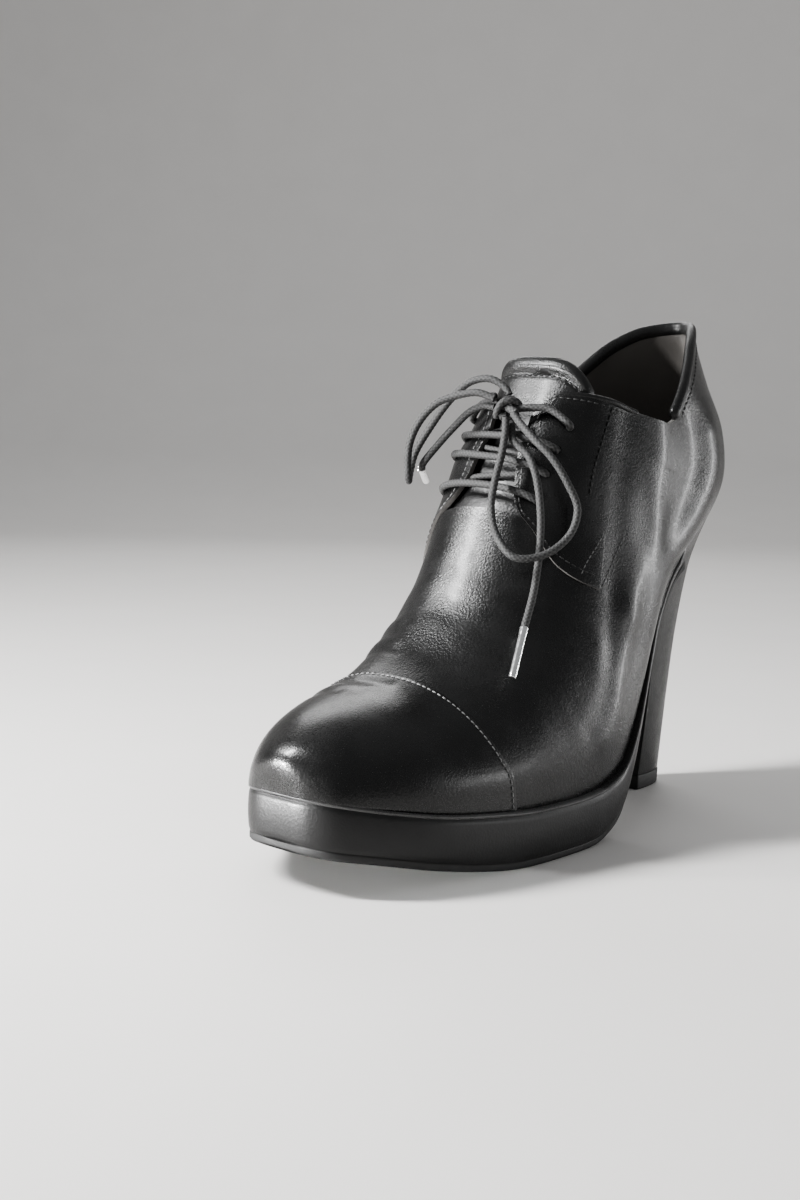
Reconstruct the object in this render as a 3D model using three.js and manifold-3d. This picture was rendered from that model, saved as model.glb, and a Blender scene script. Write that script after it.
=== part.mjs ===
// A lace-up ankle boot for the left foot, with a high covered heel and a platform sole.
// Millimetres. +X is the outer side of the foot, -Y is forward to the toe and +Z is up.
// The origin lies on the floor, under the ball of the foot.
import * as THREE from "three";
import { mergeVertices } from "three/addons/utils/BufferGeometryUtils.js";
import Module from "manifold-3d";

const wasm = await Module();
wasm.setup();

// Driving sizes of the last
const lastLength = 240; // toe tip to the back of the heel, along Y
const ballWidth = 88;
const platformHeight = 19.2; // floor to the top of the sole, under the ball
const toeSpring = 10.8; // what the toe of the sole's top rises above the ball
const seatRise = 91.8; // what the heel seat rises above the ball
const collarRise = 74; // what the back of the collar rises above the heel seat

// Thicknesses
const wall = 1.8; // leather and lining together
const capStep = 0.8; // the toe cap over the vamp
const facingStep = 1.0; // the facings over the vamp
const weltThickness = 1.3;
const outsoleThickness = 3.0;
const insoleThickness = 2.0;
const tongueThickness = 2.2;
const tongueRoll = 2.6; // what the padded top edge of the tongue adds on each face
const rimDiameter = 4.0; // the rolled edge round the back of the collar

// Heel
const breastPlace = 104; // front face of the heel, behind the ball
const heelFootDepth = 24; // front to back of the heel where it stands
const heelFootWidth = 20;
const heelFootBack = 127; // its back edge, behind the ball
const breastHollow = 2.5; // how far the front face is dished
const tipThickness = 6;

// Margins and clearances
const clearance = 0.3; // between pieces that touch on the real boot
const weltMargin = 2.7; // the welt past the upper, at the forefoot
const platformMargin = 2.0;
const outsoleMargin = 1.0;
const toeMarginShare = 0.2; // of each margin, what is left of it at the toe tip
const flushMargin = 0.2; // at the waist and heel, where all run flush
const tongueClearance = 0.7; // under the wall of the upper

// Laces
const laceDiameter = 2.5;
const eyeletDiameter = 3.2;
const agletDiameter = 3.0;
const agletGap = 0.8; // between a lace's end and its metal tip, as modelled
const knotSize = { across: 7.2, deep: 7, high: 8.4 };
const bowReach = 50; // how far the longer loop hangs below the knot
const laceLift = facingStep + 0.4 + laceDiameter / 2; // centre of a lace above the last's surface

// How finely the surfaces are faceted
const ringSides = 36;
const outlineSides = 72;
const laceSides = 8;
const faceting = 0.08; // corners this close to a flat face are dropped

function table(columns, rows) {
  return rows.map((row) => Object.fromEntries(columns.map((name, i) => [name, row[i]])));
}

// The sole's centre line. Place and heights are shares: place of lastLength from the ball,
// toe of toeSpring, seat of seatRise, thick of platformHeight.
const soleLine = table(["place", "toe", "seat", "thick"], [
  [-0.4, 1.15, 0, 0.91],
  [-0.358, 1, 0, 0.91],
  [-0.292, 0.68, 0, 0.89],
  [-0.208, 0.35, 0, 0.93],
  [-0.125, 0.15, 0, 0.99],
  [-0.06, 0.03, 0, 1.03],
  [0.04, 0, 0, 1.03],
  [0.08, 0, 0.005, 1.03],
  [0.117, 0, 0.018, 0.98],
  [0.175, 0, 0.074, 0.86],
  [0.229, 0, 0.205, 0.62],
  [0.279, 0, 0.368, 0.48],
  [0.329, 0, 0.554, 0.43],
  [0.383, 0, 0.75, 0.42],
  [0.442, 0, 0.891, 0.42],
  [0.504, 0, 0.962, 0.42],
  [0.567, 0, 1, 0.42],
  [0.64, 0, 1.027, 0.42],
]);

// Sections of the last, from the toe tip to above the collar. Each is a ring in a plane that
// leans back more and more: it runs from the ridge in front round both sides to the base.
// Places (Y) are shares of lastLength, X and widths of ballWidth, and rises are shares of
// collarRise above the sole's top at the base. Widest is the share of the way from ridge to
// base, and the two powers make the upper and lower half of the ring round or square.
const stations = table(
  ["station", "ridgeX", "ridgePlace", "ridgeRise", "baseX", "basePlace", "baseRise",
    "outer", "inner", "widest", "ridgePower", "basePower"],
  [
    [0, 0.034, -0.3625, 0.07, 0.034, -0.3625, 0.037, 0.046, -0.022, 0.6, 2, 2],
    [0.5, 0.034, -0.359, 0.152, 0.034, -0.361, -0.097, 0.153, 0.102, 0.6, 2.1, 2.8],
    [1, 0.023, -0.34, 0.222, 0.034, -0.348, -0.149, 0.244, 0.176, 0.62, 2.2, 3.2],
    [2, 0, -0.292, 0.326, 0.023, -0.3, -0.154, 0.324, 0.273, 0.66, 2.3, 3.8],
    [3, -0.034, -0.229, 0.419, 0.011, -0.233, -0.142, 0.398, 0.352, 0.68, 2.3, 4.2],
    [4, -0.068, -0.158, 0.503, 0.011, -0.154, -0.126, 0.455, 0.415, 0.7, 2.2, 4.4],
    [5, -0.085, -0.092, 0.627, 0.011, -0.058, -0.116, 0.5, 0.46, 0.72, 2.1, 4.4],
    [6, -0.091, -0.033, 0.801, 0.011, 0.054, -0.111, 0.52, 0.483, 0.76, 2.1, 4.4],
    [7, -0.085, 0.017, 0.926, 0, 0.175, -0.135, 0.511, 0.489, 0.76, 2.1, 4.2],
    [8, -0.068, 0.056, 0.745, -0.011, 0.292, -0.16, 0.455, 0.477, 0.7, 2.3, 3.6],
    [9, -0.045, 0.0875, 0.467, -0.023, 0.4, -0.182, 0.403, 0.4375, 0.6, 2.6, 3.2],
    [10, -0.028, 0.1125, 0.404, -0.011, 0.533, -0.136, 0.375, 0.398, 0.52, 2.9, 3],
    [11, -0.017, 0.135, 0.481, 0.011, 0.629, 0.103, 0.364, 0.364, 0.48, 3, 2.9],
    [12, -0.011, 0.158, 0.618, 0.028, 0.644, 0.382, 0.352, 0.335, 0.44, 3.1, 2.5],
    [13, -0.006, 0.179, 0.769, 0.045, 0.617, 0.661, 0.335, 0.301, 0.38, 3.1, 1.9],
    [14, 0, 0.196, 0.926, 0.057, 0.577, 0.939, 0.324, 0.278, 0.33, 3.1, 1.7],
    [15, 0, 0.208, 1.101, 0.057, 0.554, 1.182, 0.318, 0.273, 0.32, 3.1, 1.7],
  ],
);

// The collar edge from the throat over the side notch to the back, seen from the side:
// places are shares of lastLength, rises shares of collarRise above the heel seat.
const collarLine = table(["place", "rise"], [
  [0.05, 0.3],
  [0.129, 0.48],
  [0.145, 0.56],
  [0.16, 0.603],
  [0.183, 0.595],
  [0.217, 0.572],
  [0.262, 0.532],
  [0.308, 0.497],
  [0.346, 0.476],
  [0.362, 0.473],
  [0.383, 0.52],
  [0.433, 0.709],
  [0.483, 0.872],
  [0.525, 0.959],
  [0.567, 0.993],
  [0.64, 1],
]);

// The seam of the toe cap: at each place round the ring, the station where the cap ends.
const capSeam = table(["round", "station"], [
  [-1, 4.55],
  [-0.5, 4.5],
  [-0.4, 4.36],
  [-0.3, 4.22],
  [-0.125, 4.14],
  [0.01, 4.25],
  [0.11, 4.32],
  [0.238, 4.4],
  [0.328, 4.49],
  [0.403, 4.61],
  [0.472, 4.74],
  [1, 4.8],
]);

// Front edges of the facings at each station, as places round the ring.
const throatEdges = table(["station", "outer", "inner"], [
  [8.15, 0.125, -0.145],
  [8.4, 0.095, -0.09],
  [8.8, 0.075, -0.06],
  [9.4, 0.056, -0.042],
  [10.2, 0.045, -0.038],
  [10.9, 0.04, -0.05],
  [11.4, 0.062, -0.075],
  [11.8, 0.115, -0.125],
  [12.4, 0.2, -0.21],
]);
const throatBottom = 8.12;
const facingTop = 12.4;

// Lower edge of a facing from the throat down to its rear corner.
const facingLower = table(["outer", "inner", "station"], [
  [0.125, -0.145, 8.15],
  [0.167, -0.195, 8],
  [0.22, -0.243, 7.8],
  [0.258, -0.28, 7.78],
  [0.3, -0.322, 7.84],
  [0.357, -0.375, 7.98],
]);
const facingRearTop = 0.4; // place round the ring of the rear edge, at the collar

// Eyelets, from the top pair down.
const eyelets = {
  outer: table(["station", "round"], [[10.66, 0.17], [9.78, 0.16], [9.15, 0.153], [8.58, 0.147]]),
  inner: table(["station", "round"], [[10.85, -0.185], [10.18, -0.187], [9.5, -0.193], [8.78, -0.2]]),
};

// Outline of the tongue: half width at each station, and how far up each part of it ends.
const tongueSides = table(["station", "outer", "inner"], [
  [7.3, 0.1, -0.11],
  [8.2, 0.17, -0.18],
  [9.5, 0.21, -0.22],
  [11, 0.235, -0.24],
  [13.2, 0.25, -0.25],
]);
const tongueTop = table(["round", "station"], [
  [-0.25, 12.6],
  [-0.18, 12.95],
  [-0.1, 13.1],
  [0, 13.12],
  [0.1, 12.9],
  [0.18, 12.5],
  [0.25, 12],
]);

// The bow, from the knot outwards and back, and its free ends, whose last point is the tip of
// the aglet. All are shares of bowReach from the middle of the knot.
const knotPlace = { station: 10.8, round: 0.007, lift: 7.5 };
const bow = (rows) => table(["out", "back", "up"], rows);
const loopOuter = bow([
  [0.08, -0.038, -0.04],
  [0.174, -0.068, -0.112],
  [0.314, -0.106, -0.212],
  [0.454, -0.08, -0.34],
  [0.554, -0.032, -0.506],
  [0.62, 0.008, -0.686],
  [0.606, -0.054, -0.862],
  [0.524, -0.244, -1],
  [0.384, -0.392, -1.016],
  [0.224, -0.392, -0.868],
  [0.134, -0.336, -0.692],
  [0.114, -0.28, -0.512],
  [0.11, -0.196, -0.312],
  [0.074, -0.116, -0.146],
  [0.046, -0.08, -0.074],
]);
const loopInner = bow([
  [-0.072, -0.062, 0.07],
  [-0.196, -0.104, 0.11],
  [-0.356, -0.15, 0.086],
  [-0.494, -0.19, 0.034],
  [-0.62, -0.228, -0.094],
  [-0.694, -0.25, -0.256],
  [-0.71, -0.252, -0.402],
  [-0.714, -0.24, -0.48],
  [-0.75, -0.192, -0.534],
  [-0.804, -0.124, -0.514],
  [-0.824, -0.084, -0.448],
  [-0.79, -0.078, -0.332],
  [-0.662, -0.064, -0.142],
  [-0.49, -0.05, 0.058],
  [-0.326, -0.028, 0.188],
  [-0.166, 0.004, 0.212],
  [-0.056, 0.036, 0.152],
  [-0.016, 0.038, 0.098],
]);
const endOuter = bow([
  [0.05, -0.016, -0.108],
  [0.134, -0.096, -0.232],
  [0.266, -0.098, -0.332],
  [0.348, -0.112, -0.472],
  [0.418, -0.144, -0.722],
  [0.462, -0.204, -0.966],
  [0.498, -0.306, -1.242],
  [0.562, -0.496, -1.486],
  [0.68, -0.774, -1.774],
]);
const endInner = bow([
  [-0.096, -0.014, 0.01],
  [-0.196, -0.014, 0.02],
  [-0.306, -0.036, -0.02],
  [-0.426, -0.072, -0.134],
  [-0.552, -0.108, -0.272],
  [-0.654, -0.144, -0.404],
  [-0.69, -0.118, -0.444],
  [-0.846, 0.124, -0.542],
]);

// How a covered heel narrows: shares of the way from the seat's outline to the foot of the heel.
const heelTaper = table(["down", "across", "along"], [
  [0, 0, 0],
  [0.1, 0.3, 0.13],
  [0.2, 0.5, 0.3],
  [0.45, 0.76, 0.56],
  [0.7, 0.89, 0.77],
  [1, 1, 1],
]);

// A smooth curve through a table's column.
function read(rows, key, column, at) {
  let i = rows.findIndex((row) => row[key] > at) - 1;
  if (i < 0) i = at < rows[0][key] ? 0 : rows.length - 2;
  const slope = (k) => {
    const before = rows[Math.max(k - 1, 0)];
    const after = rows[Math.min(k + 1, rows.length - 1)];
    return (after[column] - before[column]) / (after[key] - before[key]);
  };
  const from = rows[i];
  const to = rows[i + 1];
  const span = to[key] - from[key];
  const t = Math.min(Math.max((at - from[key]) / span, 0), 1);
  const t2 = t * t;
  const t3 = t2 * t;
  return (2 * t3 - 3 * t2 + 1) * from[column] + (t3 - 2 * t2 + t) * span * slope(i)
    + (3 * t2 - 2 * t3) * to[column] + (t3 - t2) * span * slope(i + 1);
}

const mix = THREE.MathUtils.lerp;
const smooth = THREE.MathUtils.smoothstep;

// Height of the sole's top and of its underside above the floor.
function soleTop(y) {
  const place = y / lastLength;
  return platformHeight + toeSpring * read(soleLine, "place", "toe", place)
    + seatRise * read(soleLine, "place", "seat", place);
}
function soleUnder(y) {
  return Math.max(0, soleTop(y) - platformHeight * read(soleLine, "place", "thick", y / lastLength));
}

// Height of the collar edge seen from the side, in straight steps so that its notch stays sharp.
const seatHeight = platformHeight + seatRise;
const collarPoints = collarLine.map((row) => ({
  y: row.place * lastLength,
  z: seatHeight + row.rise * collarRise,
}));
function collarHeight(y) {
  const next = collarPoints.findIndex((point) => point.y > y);
  if (next < 0) return collarPoints.at(-1).z;
  if (next === 0) return collarPoints[0].z;
  const [from, to] = [collarPoints[next - 1], collarPoints[next]];
  return mix(from.z, to.z, (y - from.y) / (to.y - from.y));
}

// A point of the last: round is 0 on the ridge, 1 at the base on the outer side, -1 on the inner.
function lastPoint(station, round) {
  const at = (column) => read(stations, "station", column, station);
  const basePlace = at("basePlace") * lastLength;
  const lift = soleTop(basePlace);
  const ridge = new THREE.Vector3(at("ridgeX") * ballWidth, at("ridgePlace") * lastLength,
    lift + at("ridgeRise") * collarRise);
  const base = new THREE.Vector3(at("baseX") * ballWidth, basePlace,
    lift + at("baseRise") * collarRise);
  const upperHalf = Math.abs(round) <= 0.5;
  const angle = (Math.abs(round) - (upperHalf ? 0 : 0.5)) * Math.PI;
  const power = 2 / at(upperHalf ? "ridgePower" : "basePower");
  const widest = at("widest");
  const sine = Math.abs(Math.sin(angle)) ** power;
  const cosine = Math.abs(Math.cos(angle)) ** power;
  const wide = upperHalf ? sine : cosine;
  const down = upperHalf ? widest * (1 - cosine) : widest + (1 - widest) * sine;
  const half = (round < 0 ? -at("inner") : at("outer")) * ballWidth;
  const point = ridge.clone().lerp(base, down);
  point.x = (upperHalf ? ridge.x : base.x) * (1 - wide) + half * wide;
  return point;
}

// A point that stands off the last's surface.
function skinPoint(station, round, offset) {
  const stepAlong = 0.04;
  const stepRound = 0.01;
  const lastStation = stations.at(-1).station;
  const wrap = (value) => (value > 1 ? value - 2 : value < -1 ? value + 2 : value);
  const along = lastPoint(Math.min(station + stepAlong, lastStation), round)
    .sub(lastPoint(Math.max(station - stepAlong, 0), round));
  const around = lastPoint(station, wrap(round + stepRound)).sub(lastPoint(station, wrap(round - stepRound)));
  const normal = around.cross(along).normalize();
  return lastPoint(station, round).addScaledVector(normal, offset);
}

// A closed solid from its corners and triangles, with its faces turned outwards.
function solidFrom(points, triangles) {
  const geometry = new THREE.BufferGeometry().setFromPoints(points).setIndex(triangles.flat());
  return solidOf(geometry);
}
function solidOf(geometry) {
  const bare = geometry.clone();
  bare.deleteAttribute("normal");
  bare.deleteAttribute("uv");
  const merged = mergeVertices(bare, 1e-4);
  const corners = Array.from(merged.index.array);
  const make = (triVerts) => new wasm.Manifold(new wasm.Mesh({
    numProp: 3,
    vertProperties: Float32Array.from(merged.getAttribute("position").array),
    triVerts: Uint32Array.from(triVerts),
  }));
  const made = make(corners);
  return made.volume() > 0 ? made : make(corners.reverse());
}

// A solid through closed rings of as many points each, with a fan over each end.
function loft(rings) {
  const sides = rings[0].length;
  const points = rings.flat();
  const triangles = [];
  for (let i = 0; i < rings.length - 1; i++) {
    for (let j = 0; j < sides; j++) {
      const a = i * sides + j;
      const b = i * sides + ((j + 1) % sides);
      triangles.push([a, b, b + sides], [a, b + sides, a + sides]);
    }
  }
  for (const [end, flip] of [[0, true], [rings.length - 1, false]]) {
    const centre = points.length;
    points.push(rings[end].reduce((sum, p) => sum.add(p), new THREE.Vector3()).divideScalar(sides));
    for (let j = 0; j < sides; j++) {
      const a = end * sides + j;
      const b = end * sides + ((j + 1) % sides);
      triangles.push(flip ? [centre, b, a] : [centre, a, b]);
    }
  }
  return solidFrom(points, triangles);
}

// A plate that follows the last: place(a, b) gives the station and the place round the ring of
// a point of the plate, and low and high its two faces' offsets there.
function plate(place, low, high, across, along) {
  const points = [];
  for (const face of [low, high]) {
    for (let i = 0; i <= across; i++) {
      for (let j = 0; j <= along; j++) {
        const [a, b] = [i / across, j / along];
        const [station, round] = place(a, b);
        points.push(skinPoint(station, round, face(a, b)));
      }
    }
  }
  const layer = (across + 1) * (along + 1);
  const corner = (i, j, face) => face * layer + i * (along + 1) + j;
  const triangles = [];
  const quad = (a, b, c, d) => triangles.push([a, b, c], [a, c, d]);
  for (let i = 0; i < across; i++) {
    for (let j = 0; j < along; j++) {
      quad(corner(i, j, 1), corner(i + 1, j, 1), corner(i + 1, j + 1, 1), corner(i, j + 1, 1));
      quad(corner(i, j, 0), corner(i, j + 1, 0), corner(i + 1, j + 1, 0), corner(i + 1, j, 0));
    }
    quad(corner(i, 0, 0), corner(i + 1, 0, 0), corner(i + 1, 0, 1), corner(i, 0, 1));
    quad(corner(i + 1, along, 0), corner(i, along, 0), corner(i, along, 1), corner(i + 1, along, 1));
  }
  for (let j = 0; j < along; j++) {
    quad(corner(0, j + 1, 0), corner(0, j, 0), corner(0, j, 1), corner(0, j + 1, 1));
    quad(corner(across, j, 0), corner(across, j + 1, 0), corner(across, j + 1, 1), corner(across, j, 1));
  }
  return solidFrom(points, triangles);
}

// Solids with a straight outline: across the boot from a side view, or upright from a plan.
const reach = 2 * lastLength;
function crosswise(outline) {
  const shape = new THREE.Shape(outline.map((p) => new THREE.Vector2(p.y, p.z)));
  const geometry = new THREE.ExtrudeGeometry(shape, { depth: reach, bevelEnabled: false });
  const [x, y, z] = [0, 1, 2].map((k) => new THREE.Vector3().setComponent(k, 1));
  geometry.applyMatrix4(new THREE.Matrix4().makeBasis(y, z, x));
  return solidOf(geometry.translate(-reach / 2, 0, 0));
}
function upright(outline, height) {
  const shape = new THREE.Shape(outline.map((p) => new THREE.Vector2(p.x, p.y)));
  return solidOf(new THREE.ExtrudeGeometry(shape, { depth: height, bevelEnabled: false }));
}

// Side-view outline between two heights that follow the sole, from one place to another.
function band(fromY, toY, lower, upper, steps) {
  const places = Array.from({ length: steps + 1 }, (_, i) => mix(fromY, toY, i / steps));
  return [
    ...places.map((y) => ({ y, z: lower(y) })),
    ...places.toReversed().map((y) => ({ y, z: upper(y) })),
  ];
}

const lastRound = Array.from({ length: ringSides }, (_, j) => -1 + (2 * j) / ringSides);
const tipStation = 0.06; // the toe tip is faceted flat from here on
const ringStations = [tipStation, 0.15, 0.3, 0.5, 0.75];
for (let k = 0; k <= 24; k++) ringStations.push(1 + (14 * k) / 24);

// The whole last, grown or shrunk by an offset. Shrunk, it starts where its rings are wide enough.
function lastSolid(offset) {
  const used = offset < 0 ? ringStations.slice(2) : ringStations;
  return loft(used.map((station) => lastRound.map((round) => skinPoint(station, round, offset))));
}

// The toe cap is the last's toe, grown by its step, up to its seam.
function capSolid() {
  const rows = 12;
  const rings = [];
  for (let i = 0; i <= rows; i++) {
    const share = (i / rows) ** 1.5;
    const stationAt = (round) => mix(tipStation, read(capSeam, "round", "station", round), share);
    rings.push(lastRound.map((round) => skinPoint(stationAt(round), round, capStep)));
  }
  return loft(rings);
}

// A facing: its front edge runs down the throat, its lower edge to the rear corner, and its rear
// sinks into the wall, so that only front and lower edge make a step.
function facingSolid(side) {
  const lower = table(["share", "round", "station"], facingLower.map((row, i) =>
    [i / (facingLower.length - 1), row[side], row.station]));
  const top = [facingTop, (side === "outer" ? 1 : -1) * facingRearTop];
  const corner = [lower.at(-1).station, lower.at(-1).round];
  const place = (a, b) => {
    const station = mix(lower[0].station, facingTop, b);
    const left = [station, read(throatEdges, "station", side, station)];
    const right = [mix(corner[0], top[0], b), mix(corner[1], top[1], b)];
    const bottom = [read(lower, "share", "station", a), read(lower, "share", "round", a)];
    const first = [lower[0].station, lower[0].round];
    const last = [facingTop, read(throatEdges, "station", side, facingTop)];
    const upper = [facingTop, mix(last[1], top[1], a)];
    return [0, 1].map((k) => (1 - b) * bottom[k] + b * upper[k] + (1 - a) * left[k] + a * right[k]
      - ((1 - a) * (1 - b) * first[k] + a * (1 - b) * corner[k] + (1 - a) * b * last[k] + a * b * top[k]));
  };
  const sunk = 0.5;
  const outside = (a) => facingStep - (facingStep + sunk) * smooth(a, 0.72, 1);
  return plate(place, () => -wall / 2, outside, 9, 14);
}

// The open slot between the facings, above the vamp.
function throatSolid() {
  const place = (a, b) => {
    const station = mix(throatBottom, facingTop, b);
    const edge = Math.max(station, throatEdges[0].station);
    return [station, mix(read(throatEdges, "station", "inner", edge), read(throatEdges, "station", "outer", edge), a)];
  };
  const depth = 3 * wall;
  return plate(place, () => -depth, () => depth, 4, 16);
}

function cylinderBetween(from, to, radius, sides) {
  const geometry = new THREE.CylinderGeometry(radius, radius, from.distanceTo(to), sides);
  const turn = new THREE.Quaternion().setFromUnitVectors(
    new THREE.Vector3(0, 1, 0), to.clone().sub(from).normalize());
  const middle = from.clone().lerp(to, 0.5);
  return geometry.applyQuaternion(turn).translate(middle.x, middle.y, middle.z);
}

// The upper: vamp, toe cap, facings and counter in one wall, open at the collar, at the throat
// and underneath, with eyelet holes.
function upperSolid() {
  const above = crosswise([...collarPoints, { y: reach, z: collarPoints.at(-1).z },
    { y: reach, z: reach }, { y: collarPoints[0].y, z: reach }]);
  const below = crosswise(band(-lastLength, lastLength, () => -reach, (y) => soleTop(y) + clearance, 96));
  let made = lastSolid(0).add(capSolid()).add(facingSolid("outer")).add(facingSolid("inner"))
    .subtract(lastSolid(-wall)).subtract(throatSolid()).subtract(above).subtract(below);
  for (const hole of [...eyelets.outer, ...eyelets.inner]) {
    const through = cylinderBetween(skinPoint(hole.station, hole.round, -3 * wall),
      skinPoint(hole.station, hole.round, 3 * wall), eyeletDiameter / 2, 10);
    made = made.subtract(solidOf(through));
  }
  return made;
}

// Where the last's surface meets the sole's top, or another height, on one side at a station.
function crossing(station, side, height, fromRound) {
  let [above, below] = [fromRound, 1];
  for (let i = 0; i < 30; i++) {
    const middle = (above + below) / 2;
    const point = lastPoint(station, side * middle);
    if (point.z > height(point.y)) above = middle;
    else below = middle;
  }
  return side * above;
}

function evenly(points, count) {
  const length = [0];
  for (let i = 1; i < points.length; i++) length.push(length[i - 1] + points[i].distanceTo(points[i - 1]));
  return Array.from({ length: count + 1 }, (_, k) => {
    if (k === 0) return points[0].clone();
    if (k === count) return points.at(-1).clone();
    const at = (length.at(-1) * k) / count;
    const i = length.findIndex((l) => l >= at);
    return points[i - 1].clone().lerp(points[i], (at - length[i - 1]) / (length[i] - length[i - 1]));
  });
}

// The feather line, where the upper meets the sole, from the toe round one side to the back.
function featherSide(side) {
  // The station, between one whose base is inside the sole and one whose base is above it,
  // where the base lies on the sole's top.
  const meeting = (inside, outside) => {
    let [low, high] = [inside, outside];
    for (let i = 0; i < 30; i++) {
      const middle = (low + high) / 2;
      const point = lastPoint(middle, 1);
      if (point.z < soleTop(point.y)) low = middle;
      else high = middle;
    }
    return low;
  };
  const frontStation = meeting(1, 0);
  const backStation = meeting(9, 11);
  const points = [];
  const steps = 240;
  for (let i = 0; i <= steps; i++) {
    const station = mix(frontStation, backStation, (1 - Math.cos((Math.PI * i) / steps)) / 2);
    points.push(lastPoint(station, crossing(station, side, soleTop, 0.45)));
  }
  return points;
}
const feather = {
  outer: evenly(featherSide(1), outlineSides / 2),
  inner: evenly(featherSide(-1), outlineSides / 2),
};

// The feather line seen from above as one loop, moved outwards by a margin that is widest at
// the ball.
function soleOutline(margin) {
  const loop = [...feather.outer, ...feather.inner.slice(1, -1).reverse()];
  return loop.map((point, i) => {
    const before = loop[(i + loop.length - 1) % loop.length];
    const after = loop[(i + 1) % loop.length];
    const out = new THREE.Vector2(after.y - before.y, before.x - after.x).normalize();
    const place = point.y / lastLength;
    const forefoot = margin * mix(toeMarginShare, 1, smooth(place, -0.37, -0.2));
    const grow = mix(forefoot, flushMargin, smooth(place, 0.2, 0.42));
    return new THREE.Vector3(point.x + out.x * grow, point.y + out.y * grow, point.z);
  });
}

// A layer of the sole: an outline seen from above, between two heights, up to the heel's breast.
function layer(margin, lower, upper) {
  return upright(soleOutline(margin), reach)
    .intersect(crosswise(band(-lastLength / 2, breastPlace - clearance, lower, upper, 56)));
}
const weltUnder = (y) => soleTop(y) - weltThickness;
const outsoleTop = (y) => soleUnder(y) + outsoleThickness;
const weltSolid = () => layer(weltMargin, weltUnder, soleTop);
const platformSolid = () => layer(platformMargin, (y) => outsoleTop(y) + clearance, (y) => weltUnder(y) - clearance);
const outsoleSolid = () => layer(outsoleMargin, soleUnder, outsoleTop);

// The insole lies inside the upper on the sole's top.
function insoleSolid() {
  const top = (y) => soleTop(y) + clearance;
  return lastSolid(-wall - 2 * clearance)
    .intersect(crosswise(band(-lastLength / 2, lastLength, top, (y) => top(y) + insoleThickness, 64)));
}

// The seat's outline behind the breast, as a loop that starts at its outer front corner, goes
// round the back and returns along the breast.
const heelSides = 26;
const breastSides = 6;
function seatLoop() {
  const behind = (points) => points.filter((point) => point.y > breastPlace);
  const round = [...behind(feather.outer), ...behind(feather.inner).reverse().slice(1)];
  const front = (near, far) => {
    const share = (breastPlace - far.y) / (near.y - far.y);
    return far.clone().lerp(near, share);
  };
  const corner = (points) => {
    const k = points.findIndex((point) => point.y > breastPlace);
    return front(points[k], points[k - 1]);
  };
  const [outerCorner, innerCorner] = [corner(feather.outer), corner(feather.inner)];
  const back = evenly([outerCorner, ...round, innerCorner], heelSides);
  const breast = Array.from({ length: breastSides - 1 }, (_, i) =>
    innerCorner.clone().lerp(outerCorner, (i + 1) / breastSides));
  return { points: [...back, ...breast], corner: outerCorner };
}

// The foot of the heel as a loop with the same corners: a rounded back and a flat breast.
const footCentreX = 2.5;
function footLoop(z) {
  const front = heelFootBack - heelFootDepth;
  const points = [];
  for (let i = 0; i <= heelSides; i++) {
    const angle = (Math.PI * i) / heelSides;
    const power = 2 / 2.6;
    points.push(new THREE.Vector3(
      footCentreX + Math.sign(Math.cos(angle)) * Math.abs(Math.cos(angle)) ** power * heelFootWidth / 2,
      front + Math.abs(Math.sin(angle)) ** power * heelFootDepth,
      z));
  }
  for (let i = 1; i < breastSides; i++) {
    points.push(points[heelSides].clone().lerp(points[0], i / breastSides));
  }
  return points;
}

// The covered heel narrows from the seat's outline to its foot.
function heelSolid() {
  const seat = seatLoop().points;
  const foot = footLoop(tipThickness + clearance);
  const rows = 10;
  const rings = [];
  for (let i = 0; i <= rows; i++) {
    const down = i / rows;
    const across = read(heelTaper, "down", "across", down);
    const along = read(heelTaper, "down", "along", down);
    rings.push(seat.map((point, j) => {
      const onBreast = j === 0 || j >= heelSides;
      const dish = onBreast ? breastHollow * Math.sin(Math.PI * down) : 0;
      return new THREE.Vector3(
        mix(point.x, foot[j].x, across),
        mix(point.y, foot[j].y, along) + dish,
        mix(soleTop(point.y) - clearance, foot[j].z, down));
    }));
  }
  // A slightly sunk centre keeps the top's fan under the curved seat.
  return loft(rings).subtract(crosswise(band(0, lastLength, (y) => soleTop(y) - clearance, () => reach, 60)));
}
function heelTipSolid() {
  return loft([footLoop(0), footLoop(tipThickness)]);
}

// A tube along a smooth curve.
function tube(points, diameter, steps, sides = laceSides) {
  const section = new THREE.Shape();
  for (let i = 0; i < sides; i++) {
    const angle = (2 * Math.PI * i) / sides;
    const [x, y] = [Math.cos(angle) * diameter / 2, Math.sin(angle) * diameter / 2];
    if (i === 0) section.moveTo(x, y);
    else section.lineTo(x, y);
  }
  section.closePath();
  return new THREE.ExtrudeGeometry(section, {
    steps,
    bevelEnabled: false,
    extrudePath: new THREE.CatmullRomCurve3(points, false, "centripetal"),
  });
}

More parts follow.
